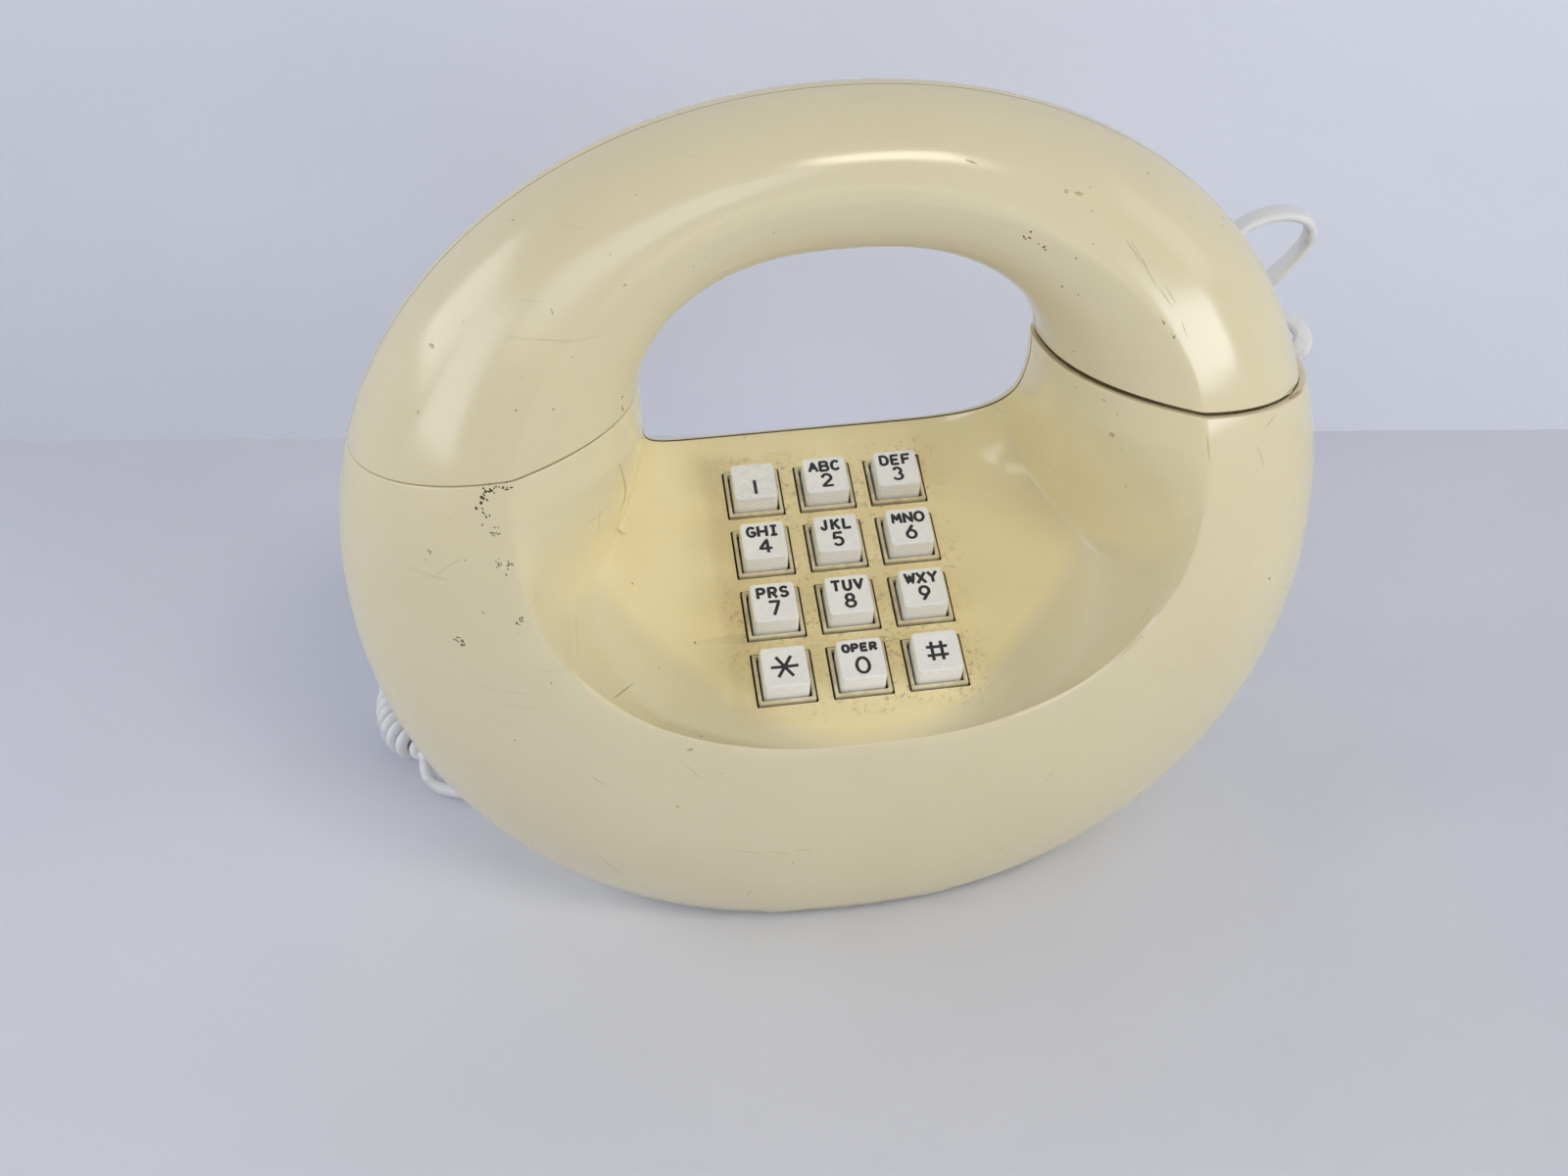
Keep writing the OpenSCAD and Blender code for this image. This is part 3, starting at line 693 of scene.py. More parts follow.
def ivory_plastic(front=True):
    """Glossy moulded plastic with fine scratches; on the front yellowed and painted lighter in the bowl as
    painted light, grimy at the keys, with painted shade round the wells.
    """
    sizes = bpy.context.scene.ring_sizes
    p = Paint("ivory_plastic" if front else "ivory_back")
    if not p.fresh:
        return p.material
    at = p.object_coords()
    plastic, bowl_yellow_and_light = tuple(sizes.plastic), tuple(sizes.bowl_yellow_and_light)
    base = p.mix(p.ramp(p.noise(9.0, 2.0), 0.35, 0.68), plastic, (0.745, 0.660, 0.41))
    if front:
        base = worn_front_with_painted_light(p, at, base, bowl_yellow_and_light)
    blotch = p.ramp(p.noise(24.0, 3.0, rough=0.5), 0.42, 0.80, 0.0, 0.30)
    base = p.mix(blotch, base, (0.62, 0.54, 0.33))
    specks = p.ramp(p.noise(650.0, 1.0), 0.765, 0.80)
    specks = p.math("MULTIPLY", specks, p.ramp(p.noise(38.0, 2.0), 0.5, 0.62, 0.0, 0.75))
    base = p.mix(specks, base, (0.13, 0.10, 0.06))
    stretched = p.put("Mapping", {"Vector": at, "Rotation": (0.3, 0.9, 0.2), "Scale": (40.0, 40.0, 900.0)})
    lines = p.ramp(p.noise(1.0, 2.0, stretched.outputs[0]), 0.68, 0.72)
    lines = p.math("MULTIPLY", lines, p.ramp(p.noise(26.0, 2.0), 0.52, 0.66, 0.0, 0.2))
    base = p.mix(lines, base, (0.42, 0.37, 0.22))
    x, _, _ = p.parts(at)
    dull = p.ramp(p.noise(16.0, 3.0, rough=0.5), 0.30, 0.75, 0.12, 0.22)
    dull = p.math("ADD", dull, p.ramp(x, -0.030, -0.055, 0.0, 0.05))
    p.bump(p.math("SUBTRACT", p.noise(55.0, 1.0), p.math("MULTIPLY", lines, 0.04)), 0.1, 0.00022)
    return p.done(base, dull)


def plain_plastic(name, tint, rough=0.35):
    """Plastic, rubber or paint in one tint with a faint grain."""
    p = Paint(name)
    if not p.fresh:
        return p.material
    shade = p.ramp(p.noise(60.0, 3.0), 0.3, 0.7)
    p.bump(p.noise(900.0, 2.0), 0.08, 0.0003)
    base = p.mix(shade, tuple(c * 0.94 for c in tint), tuple(tint))
    return p.done(base, p.ramp(p.noise(200.0), 0.3, 0.7, rough - 0.05, rough + 0.06))


def metal(name, tint, rough=0.3):
    """Bare metal with a fine grain and duller patches."""
    p = Paint(name, Metallic=1.0)
    if not p.fresh:
        return p.material
    dull = p.ramp(p.noise(90.0, 4.0), 0.35, 0.75)
    p.bump(p.noise(600.0, 2.0), 0.1, 0.0002)
    base = p.mix(dull, tuple(tint), tuple(c * 0.8 for c in tint))
    return p.done(base, p.ramp(dull, 0, 1, rough, rough + 0.2))


# ---------------------------------------------------------------- cords
CURL_ROUTE = [
    (-99, 37.5, 5.3), (-101.6, 41, 5.3), (-104.3, 46, 5.3), (-106.4, 52.5, 5.3), (-106.5, 61, 5.3),
    (-104, 70, 5.3), (-98, 78, 5.3), (-89, 82, 6.5), (-80, 80, 13), (-74, 74, 26), (-71, 68, 44),
    (-70, 63, 64), (-70, 60, 84), (-71, 58, 102),
]
BASE_TAIL_ROUTE = [
    (-72.1, 20.5, 10.5), (-76, 20.9, 9.7), (-81, 22.2, 6.5), (-87, 25, 2.8), (-93, 27.8, 1.8),
    (-97, 30.2, 2.2), (-98.8, 33.2, 3.6), (-99, 37.5, 5.3),
]
HANDSET_TAIL_ROUTE = [
    (-71, 58, 102), (-71.4, 57.5, 112), (-72.2, 55.5, 123), (-73, 51, 130.5), (-73, 46.5, 132.3),
    (-73, 42, 132.5),
]
LINE_ROUTE = [
    (30, 52.2, 12), (30, 56, 11.7), (31, 61, 9), (36, 66, 4), (45, 69, 2.3), (57, 68, 2.3), (66, 62, 8),
    (70, 54, 28), (73, 46, 60), (77, 39, 92), (82, 37, 114), (89, 39, 128), (97, 42, 135), (105, 43, 136.5),
    (112, 43, 135.5), (115, 43, 131.5), (112, 43.5, 125.5), (105, 44.5, 117), (98, 46, 109), (94, 50, 103.5),
    (97, 55, 102.5), (105, 55, 104.5), (113, 51, 105.5), (118.3, 46, 104), (117, 41, 101.5), (110, 39.5, 98),
    (101, 41, 90), (94, 44.5, 76), (87, 50, 55), (81, 57, 34), (75, 66, 15), (66, 75, 4.5), (56, 80, 2.3),
    (45, 79.5, 2.3), (35, 75.5, 3.6), (26, 71.5, 6.2), (17, 69.6, 7.3),
]
HANK_X, HANK_Y, HANK_RUN = -22.0, 84.0, 60.0


def hank_turns(outer, pitch, upper, lower, turns):
    """Racetrack turns from the outside in on the upper layer, then out again on the lower one."""
    out = []
    per = 72
    for k in range(int(turns * per) + 1):
        u = k / per
        r = outer - pitch * min(u, 4.0) if u < 4.5 else outer - pitch * 4 + pitch * (u - 4.5)
        z = upper + (lower - upper) * float(step01(4.0, 4.5, u))
        straight, arc = HANK_RUN, math.pi * r
        s = (u % 1.0) * 2 * (straight + arc)
        right, left = HANK_X + HANK_RUN / 2, HANK_X - HANK_RUN / 2
        if s < straight:
            out.append((right - s, HANK_Y - r, z))
        elif s < straight + arc:
            a = (s - straight) / r
            out.append((left - r * math.sin(a), HANK_Y - r * math.cos(a), z))
        elif s < 2 * straight + arc:
            out.append((left + s - straight - arc, HANK_Y + r, z))
        else:
            a = (s - 2 * straight - arc) / r
            out.append((right + r * math.sin(a), HANK_Y + r * math.cos(a), z))
    return out


def cord_sheath():
    """White cord sheath with a little grime."""
    cords = bpy.context.scene.cord_sizes
    p = Paint("cord_sheath")
    if not p.fresh:
        return p.material
    grime = p.ramp(p.noise(160.0, 5.0, rough=0.65), 0.55, 0.75)
    tint = tuple(cords.white)
    p.bump(p.noise(500.0, 2.0), 0.1, 0.0003)
    return p.done(p.mix(grime, tint, tuple(c * 0.72 for c in tint)), 0.42)


class TELEPHONE_OT_line_cord(bpy.types.Operator):
    """Flat line cord with its two loops, its hank, its tie and its plug"""

    bl_idname = "telephone.line_cord"
    bl_label = "Line cord"

    def execute(self, context):
        cords = context.scene.cord_sizes
        thick, wide = cords.flat_thick, cords.flat_width
        hank = np.array(hank_turns(17.4, 2.3, 7.3, 2.5, 8.5))
        last = hank[-1]
        tail = [last + (4, 0, 0.1), np.array([20.5, last[1], 3.0]), np.array([24.5, last[1], 3.3])]
        lead_in = [np.array([26, 68.6, 6.4]), hank[0] + (6, 0.1, -0.3)]
        route = [np.array(p, float) for p in LINE_ROUTE[:-2]] + lead_in
        lead = np.concatenate([spline(route, 2.0), [hank[0]]])
        path = softened(evenly(np.concatenate([lead, hank[1:], tail]), 1.5), 14)
        path[:, 2] = np.maximum(path[:, 2], 2.45)
        path = evenly(path, 1.5)
        along = np.gradient(path, axis=0)
        along /= np.linalg.norm(along, axis=1)[:, None]
        loops = step01(20, 40, path[:, 2]) * step01(60, 75, path[:, 0])
        wound = step01(length_of(lead) - 30, length_of(lead) - 6, np.arange(len(path)) * 1.5)
        flat = np.cross(along, [0, 0, 1.0])
        flat /= np.maximum(np.linalg.norm(flat, axis=1), 1e-6)[:, None]
        across = carried_across(path, (1, 0, 0))
        for k in range(1, len(path)):
            aim = flat[k] * (1 - loops[k]) * (1 - wound[k])
            aim = aim + np.array([0.0, 1.0, 0.15]) * loops[k] + np.array([0, 0, 1.0]) * wound[k] * 1.5
            aim = aim - aim.dot(along[k]) * along[k]
            if aim.dot(across[k - 1]) < 0:
                aim = -aim
            v = across[k - 1] * 0.75 + aim * 0.25
            v = v - v.dot(along[k]) * along[k]
            across[k] = v / np.linalg.norm(v)
        cord = swept_cord("flat_line_cord", path, across, wide, thick, cord_sheath())
        smooth(cord, 50)
        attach(cord, "base")
        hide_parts("line_cord", "line_cord_hank")
        plug = self.plug(20.5, last[1] - 4.8)
        tie = self.tie()
        print("line cord", round(length_of(path)), "mm")
        return {"FINISHED"}

    def plug(self, x, y):
        """A clear modular plug with its latch and its gold contacts."""
        clear = plain_plastic("plug_clear", (0.60, 0.62, 0.60), 0.12)
        gold = metal("plug_contacts", (0.80, 0.58, 0.22), 0.3)
        blocks = [(x, x + 13, y, y + 9.6, 0, 6.6), (x + 12, x + 21, y + 0.5, y + 9.1, 0, 6.2)]
        blocks += [(x + 8, x + 19.5, y + 3.2, y + 6.4, 5.8, 6.55)]
        points, faces = rounded_blocks(blocks, 0.35)
        slots = [(x + 16.5, x + 20.6, y + 1.75 + 1.27 * k, y + 2.1 + 1.27 * k, 5.9, 6.45) for k in range(2)]
        slots += [(x + 16.5, x + 20.6, y + 7.05 + 1.0 * k, y + 7.4 + 1.0 * k, 5.9, 6.45) for k in range(2)]
        more, sides = rounded_blocks(slots, 0.05)
        inks = [0] * len(faces) + [1] * len(sides)
        faces += [[q + len(points) for q in f] for f in sides]
        obj = make_object("modular_plug", points + more, faces, [clear, gold])
        obj.data.polygons.foreach_set("material_index", inks)
        smooth(obj, 40)
        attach(obj, "base")
        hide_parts("line_plug")
        return obj

    def tie(self):
        """A flat black tie round the middle of the hank."""
        out = 18.5
        lo, hi = HANK_Y - out - 0.6, HANK_Y + out + 0.6
        top = 10.6
        side = [(HANK_X, lo, 0.1), (HANK_X, lo, 5), (HANK_X, lo, top - 1.2), (HANK_X, lo + 0.4, top - 0.3)]
        side += [(HANK_X, lo + 1.4, top), (HANK_X, HANK_Y, top)]
        path = side + [(x, 2 * HANK_Y - y, z) for x, y, z in reversed(side[:-1])]
        black = plain_plastic("tie_black", (0.03, 0.03, 0.032), 0.8)
        obj = swept_cord("cord_tie", path, [(1, 0, 0)] * len(path), 9.0, 0.9, black)
        smooth(obj, 40)
        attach(obj, "base")
        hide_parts("hank_tie")
        return obj


def rounded_blocks(blocks, radius):
    """Points and faces of boxes with chamfered edges, each (x0, x1, y0, y1, z0, z1)."""
    mesh = bmesh.new()
    for x0, x1, y0, y1, z0, z1 in blocks:
        made = bmesh.ops.create_cube(mesh, size=1.0)["verts"]
        for v in made:
            x, y, z = v.co.x + 0.5, v.co.y + 0.5, v.co.z + 0.5
            v.co = Vector((x0 + x * (x1 - x0), y0 + y * (y1 - y0), z0 + z * (z1 - z0)))
    bmesh.ops.bevel(mesh, geom=list(mesh.edges), offset=radius, segments=3, profile=0.5, affect="EDGES")
    bmesh.ops.recalc_face_normals(mesh, faces=mesh.faces)
    mesh.verts.index_update()
    points = [tuple(v.co) for v in mesh.verts]
    faces = [[v.index for v in f.verts] for f in mesh.faces]
    mesh.free()
    return points, faces


class TELEPHONE_OT_curled_cord(bpy.types.Operator):
    """Curled cord from the base round behind it and up to the handset"""

    bl_idname = "telephone.curled_cord"
    bl_label = "Curled cord"

    def execute(self, context):
        cords = context.scene.cord_sizes
        radius = (cords.coil - cords.wire) / 2
        line = evenly(spline(CURL_ROUTE, 1.0), 0.5)
        sides = carried_across(line, (0, 0, 1))
        along = np.gradient(line, axis=0)
        along /= np.linalg.norm(along, axis=1)[:, None]
        other = np.cross(along, sides)
        total = length_of(line)
        turns = round(total / cords.pitch)
        n = turns * 16
        s = np.linspace(0, total, n + 1)
        grow = step01(0, 9, s) * step01(0, 9, total - s)
        stations = np.arange(len(line)) * total / (len(line) - 1)

        def at(values):
            return np.stack([np.interp(s, stations, values[:, k]) for k in range(3)], 1)

        angle = 2 * math.pi * turns * s / total
        ring = np.cos(angle)[:, None] * at(sides) + np.sin(angle)[:, None] * at(other)
        coil = at(line) + radius * grow[:, None] * ring
        start, end = spline(BASE_TAIL_ROUTE, 1.0), spline(HANDSET_TAIL_ROUTE, 1.0)
        path = np.concatenate([start[:-1], coil, end[1:]])
        cord = swept_cord("curled_cord", path, carried_across(path), cords.wire, cords.wire, cord_sheath())
        smooth(cord, 60)
        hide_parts("curly_cord", "curly_tail_base", "curly_tail_handset")
        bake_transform(cord)
        print("curled cord", round(length_of(path)), "mm", turns, "turns")
        return {"FINISHED"}


# ---------------------------------------------------------------- housings
def front_skin(columns_band=26, columns_bowl=40, groove=0.28):
    """Profile columns of the front housing and a function that gives their points."""
    s_band = np.concatenate([[0.0, 0.004], np.linspace(0, 1, columns_band)[1:-1] * 0.985, [0.985]])
    bowl = 0.015 + np.linspace(0, 1, columns_bowl)[1:-1] * 0.97
    s_bowl = np.concatenate([[0.015], bowl, [0.985, 0.996, 1.0]])
    depth = np.zeros(len(s_band) + 1 + len(s_bowl))
    depth[0] = groove
    depth[1] = groove * 0.25
    depth[-1] = groove
    depth[-2] = groove * 0.25
    nb = len(s_band)

    def skin(t, w):
        t = np.broadcast_to(t, w.shape)
        a = band(t[..., :nb], s_band, w[..., :nb])
        b = funnel(t[..., nb + 1:], s_bowl, w[..., nb + 1:])
        k = crease(t[..., nb:nb + 1], w[..., nb:nb + 1])
        k = 0.4 * k + 0.3 * a[..., -1:, :] + 0.3 * b[..., :1, :]
        return np.concatenate([a, k, b], -2)

    return skin, depth


def rear_skin(columns=30, groove=0.28):
    """Profile columns of a rear half and a function that gives their points."""
    steps = np.linspace(0, 1, columns)
    s = np.concatenate([[0.0, 0.006], steps[1:], 1 + steps[1:-1], [1.994, 2.0]])
    depth = np.zeros(len(s))
    depth[0] = depth[-1] = groove
    depth[1] = depth[-2] = groove * 0.25

    def skin(t, w):
        t = np.broadcast_to(t, w.shape)
        return rear(t, s, w)

    return skin, depth


def housing(name, part, base, lift, materials):
    """A housing's shell and the outer edges of its skin, where it meets the other half."""
    sizes = bpy.context.scene.ring_sizes
    skin, groove = front_skin(groove=sizes.groove) if part == "front" else rear_skin(groove=sizes.groove)
    lip = sizes.lip if base else 0.15
    angles = np.radians([0, 18, 36, 54, 72, 90])
    rims = [(lip * (1 - math.sin(a)), lip * (1 - math.cos(a))) for a in angles]
    outer = skin_grid(skin, groove, rims, sizes.arc_rows, base, lift)
    thin = sizes.edge - sizes.wall
    inner_rims = [(thin, h) for _, h in rims]
    inner = skin_grid(skin, np.full_like(groove, sizes.wall), inner_rims, sizes.arc_rows, base, lift)
    for grid, w in ((outer, 0.0), (inner, sizes.wall)):
        if base:
            grid[..., 2] = np.maximum(grid[..., 2], 2.0 + w)
        else:
            right = step01(4, 42, grid[..., 0]) * (1 - step01(SHOULDER_Z, SHOULDER_Z + 34, grid[..., 2]))
            grid[..., 0] += right * (62 - grid[..., 0]) * sizes.ledge / 25
            grid[..., 1] += right * (8 - grid[..., 1]) * sizes.ledge / 36
            grid[..., 2] += right * (0.45 + 0.45 * (1 - step01(42, 72, grid[..., 0])))
    edges = [outer[:, 0].copy(), outer[:, -1].copy()]
    if part == "front":
        outer, inner = outer[:, ::-1], inner[:, ::-1]
    return smooth(shell(name, outer, inner, materials), 32), edges


def joined(obj, points, faces, slot):
    """Adds closed pieces to an object, painted with the material of a slot."""
    mesh = bmesh.new()
    mesh.from_mesh(obj.data)
    verts = [mesh.verts.new(tuple(np.asarray(p) * MM)) for p in points]
    for f in faces:
        face = mesh.faces.new([verts[q] for q in f])
        face.material_index = slot
        face.smooth = True
    mesh.to_mesh(obj.data)
    mesh.free()
    return obj


def joint_line(obj, edges):
    """The thin dark line of dust in the groove where two halves meet."""
    for edge in edges:
        path = edge[4:-4]
        outline = [(0.17, 0.0), (0.0, 0.22), (-0.17, 0.0), (0.0, -0.22)]
        points, faces = sweep(path, np.tile([0.0, 1.0, 0.0], (len(path), 1)), outline)
        joined(obj, points, faces, 1)


# Each mark's kind, where it starts and where it ends in the camera's frame, in pixels, and its width in mm
MARKS = [
    ("dark", (492, 501), (521, 497), 0.55),
    ("dark", (494, 506), (500, 501), 0.9),
    ("dark", (489, 516), (492, 512), 1.0),
    ("dark", (494, 523), (498, 526), 0.5),
    ("dark", (506, 537), (508, 539), 0.35),
    ("dark", (499, 544), (511, 546), 0.3),
    ("dark", (508, 570), (509, 579), 0.35),
    ("dark", (519, 573), (521, 580), 0.5),
    ("dark", (516, 586), (517, 587), 0.35),
    ("dark", (529, 631), (532, 636), 0.6),
    ("dark", (463, 650), (474, 657), 0.5),
    ("dark", (470, 655), (474, 657), 0.9),
    ("dark", (562, 697), (563, 697), 0.35),
    ("dark", (439, 560), (438, 564), 0.3),
    ("dark", (1186, 327), (1189, 331), 0.14),
    ("dark", (1196, 341), (1199, 345), 0.2),
    ("dark", (526, 418), (527, 420), 0.2),
    ("dark", (427, 419), (426, 423), 0.25),
    ("dark", (634, 404), (635, 406), 0.3),
    ("dark", (635, 413), (636, 419), 0.25),
    ("dark", (563, 316), (565, 318), 0.35),
    ("dark", (490, 625), (494, 625), 0.2),
    ("dark", (644, 594), (645, 596), 0.25),
    ("dark", (525, 755), (526, 756), 0.3),
    ("scratch", (626, 713), (646, 697), 0.25),
    ("scratch", (1150, 246), (1165, 268), 0.12),
    ("scratch", (1154, 246), (1172, 275), 0.12),
    ("scratch", (1165, 266), (1180, 292), 0.12),
    ("scratch", (1183, 294), (1196, 312), 0.12),
    ("scratch", (1188, 290), (1200, 310), 0.1),
    ("scratch", (1206, 328), (1212, 345), 0.12),
    ("scratch", (1290, 438), (1303, 422), 0.15),
    ("scratch", (1283, 455), (1290, 476), 0.12),
    ("scratch", (605, 793), (618, 801), 0.18),
    ("scratch", (607, 870), (640, 896), 0.14),
    ("scratch", (748, 868), (777, 870), 0.16),
    ("scratch", (784, 869), (806, 871), 0.18),
    ("scratch", (810, 868), (828, 867), 0.14),
    ("scratch", (700, 780), (715, 795), 0.1),
    ("scratch", (612, 518), (610, 544), 0.12),
    ("scratch", (440, 590), (470, 570), 0.08),
    ("scratch", (1065, 800), (1075, 785), 0.1),
    ("scratch", (1160, 640), (1175, 615), 0.1),
    ("brown", (1125, 407), (1128, 410), 0.6),
    ("brown", (1133, 441), (1136, 446), 0.8),
    ("brown", (1097, 394), (1098, 396), 0.5),
    ("brown", (1086, 194), (1090, 197), 0.6),
    ("brown", (1097, 197), (1105, 199), 0.6),
    ("brown", (1139, 422), (1141, 424), 0.35),
    ("brown", (438, 351), (443, 354), 0.6),
    ("brown", (985, 163), (997, 167), 0.35),
    ("brown", (636, 292), (640, 290), 0.4),
    ("brown", (1232, 445), (1234, 470), 0.2),
    ("brown", (632, 474), (638, 544), 0.5),
    ("brown", (1317.5, 402), (1329, 398), 0.8),
    ("red", (1047, 237), (1050, 243), 0.5),
    ("red", (1060, 247), (1067, 252), 0.5),
]
INKS = {"dark": 1, "brown": 2, "scratch": 3, "red": 4}


def ray_through(across, down):
    """The direction from the camera through a place in its frame."""
    focal = LENS / SENSOR * FRAME_WIDTH
    right = CAMERA_RIGHT * ((across - FRAME_WIDTH / 2) / focal)
    up = CAMERA_UP * ((FRAME_HEIGHT / 2 - down) / focal)
    return (right + up - CAMERA_RIGHT.cross(CAMERA_UP)).normalized()


def front_of_ring(turns=720):
    """The front of the whole ring before it is cut into base and handset, for rays to meet."""
    skin, depth = front_skin()
    grid = np.array([skin(np.asarray(t), np.zeros_like(depth)) for t in np.linspace(0, 360, turns)])
    n = grid.shape[1]
    faces = [
        (i * n + j, i * n + j + 1, (i + 1) * n + j + 1, (i + 1) * n + j)
        for i in range(turns - 1)
        for j in range(n - 1)
    ]
    return BVHTree.FromPolygons([tuple(p) for p in grid.reshape(-1, 3) * MM], faces)


def marks_on_the_ring():
    """Each mark's kind, its two ends on the ring to a tenth of a millimetre, and its width."""
    ring = front_of_ring()
    placed = []
    for kind, first, last, width in MARKS:
        met = [ring.ray_cast(CAMERA_AT, ray_through(*place))[0] for place in (first, last)]
        p, q = (np.round(np.array(end) / MM, 1) for end in met)
        placed.append((kind, p, q, width))
    return placed


def worn(obj, seed):
    """Scuffs, scratches and spots, as thin slivers that follow the surface of the piece they lie on."""
    tree = BVHTree.FromObject(obj, bpy.context.evaluated_depsgraph_get())
    chance = np.random.RandomState(seed)
    for kind, p, q, width in marks_on_the_ring():
        near = tree.find_nearest(Vector((p + q) / 2 * MM))
        if near[0] is None or near[3] > 0.0011:
            continue
        span = float(np.linalg.norm(q - p))
        flecks = 5 if kind == "red" else 1
        if kind == "dark" and span > 0.45:
            flecks = 3 + int(span * 3.2)
        for k in range(flecks):
            a, b, shift = 0.0, 1.0, np.zeros(3)
            if flecks > 1:
                a = chance.rand() * 0.9
                b = min(1.0, a + (0.25 + 0.55 * chance.rand() ** 2) / max(span, 0.8))
                shift = (chance.rand(3) - 0.5) * (1.3 if kind == "red" else width * 2.4)
            n = max(4, int(span * (b - a) / 0.35))
            path, across, widths = [], [], []
            for u in np.linspace(a, b, n + 1):
                spot, normal, _, _ = tree.find_nearest(Vector((p + (q - p) * u + shift) * MM))
                side = np.cross(q - p, np.array(normal))
                path.append(np.array(spot) / MM)
                across.append(side / max(np.linalg.norm(side), 1e-6))
                ends = math.sin(math.pi * (0.12 + 0.76 * (u - a) / (b - a)))
                widths.append(width * (0.65 if flecks == 1 else 0.36) * ends * (0.65 + 0.6 * chance.rand()))
            points, faces = sliver(np.array(path), np.array(across), np.array(widths))
            joined(obj, points, faces, INKS[kind])
    return obj


def sliver(path, across, widths):
    """A closed lens that stands 0.015 mm out of a surface along a path, with its own width at each point."""
    along = np.gradient(path, axis=0)
    along /= np.linalg.norm(along, axis=1)[:, None]
    up = np.cross(across, along)
    outline = [(1.0, 0.0), (0.6, 0.015), (-0.6, 0.015), (-1.0, 0.0), (-0.6, -0.06), (0.6, -0.06)]
    rings = [path + across * widths[:, None] * x + up * y for x, y in outline]
    points = np.stack(rings, 1).reshape(-1, 3)
    return points, tube_faces(len(path), len(outline)) + tube_ends(len(path), len(outline))


def worn_plastics():
    """The housing's plastic and the colours of the marks on it."""
    return [
        ivory_plastic(),
        plain_plastic("joint_dust", (0.075, 0.055, 0.03), 0.8),
        plain_plastic("brown_stain", (0.55, 0.43, 0.22), 0.4),
        plain_plastic("fine_scratch", (0.44, 0.38, 0.23), 0.5),
        plain_plastic("red_spot", (0.22, 0.035, 0.02), 0.4),
    ]


def square_loop(width, r, z, steps=4):
    """A square with rounded corners, anticlockwise."""
    half, out = width / 2, []
    for sx, sy, first in ((1, 1, 0), (-1, 1, 90), (-1, -1, 180), (1, -1, 270)):
        for a in np.linspace(0, 90, steps):
            v = math.radians(first + a)
            out.append((sx * (half - r) + r * math.cos(v), sy * (half - r) + r * math.sin(v), z))
    return out


def stacked(loops, closed):
    """Points and faces of loops joined one to the next; closed joins the last to the first."""
    n = len(loops[0])
    points = [q for loop in loops for q in loop]
    faces = []
    for a in range(len(loops) if closed else len(loops) - 1):
        b = (a + 1) % len(loops)
        faces += [[a * n + k, a * n + (k + 1) % n, b * n + (k + 1) % n, b * n + k] for k in range(n)]
    if not closed:
        faces.append(list(range(n))[::-1])
        faces.append([(len(loops) - 1) * n + k for k in range(n)])
    return points, faces


def well_cutter(material):
    """Twelve wells with flared mouths, as one cutting solid."""
    levels = [(-4.2, 12.65), (-0.12, 12.65), (0.0, 12.75), (2.5, 12.75)]
    points, faces = stacked([square_loop(width, 0.35, z) for z, width in levels], False)
    return face_outwards(on_the_pad(make_object("wells", points, faces, []), material))


class TELEPHONE_OT_base_housing(bpy.types.Operator):
    """Front and rear halves of the base, with the wells for the keys"""

    bl_idname = "telephone.base_housing"
    bl_label = "Base housing"

    def execute(self, context):
        plastics = worn_plastics()
        front, edges = housing("base_front", "front", True, 0.0, plastics)
        # The wells' cut walls are painted dark brown: painted shade in the gaps round the keys
        cut(front, well_cutter(plain_plastic("well_wall_shade", (0.17, 0.125, 0.06), 0.7)))
        smooth(front, 32)
        worn(front, 3)
        joint_line(front, edges)
        rear_half, _ = housing("base_rear", "rear", True, 0.0, [ivory_plastic(False)])
        for obj, node in ((front, "base_front_housing"), (rear_half, "base_rear_housing")):
            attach(obj, "base")
            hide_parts(node)
        return {"FINISHED"}


class TELEPHONE_OT_handset_shells(bpy.types.Operator):
    """Front and rear halves of the handset"""

    bl_idname = "telephone.handset_shells"
    bl_label = "Handset shells"

    def execute(self, context):
        plastics = worn_plastics()
        gap = context.scene.ring_sizes.gap
        front, edges = housing("handset_front", "front", False, gap, plastics)
        worn(front, 5)
        joint_line(front, edges)
        rear_half, _ = housing("handset_rear", "rear", False, gap, [ivory_plastic(False)])
        for obj, node in ((front, "handset_front_shell"), (rear_half, "handset_rear_shell")):
            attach(obj, "handset")
            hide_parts(node)
        return {"FINISHED"}


# ---------------------------------------------------------------- keys
def arc(cx, cy, rx, ry, start, end, n=10):
    """Points of an elliptic arc, its angles in degrees."""
    return [
        (cx + rx * math.cos(math.radians(start + (end - start) * k / n)),
         cy + ry * math.sin(math.radians(start + (end - start) * k / n)))
        for k in range(n + 1)
    ]


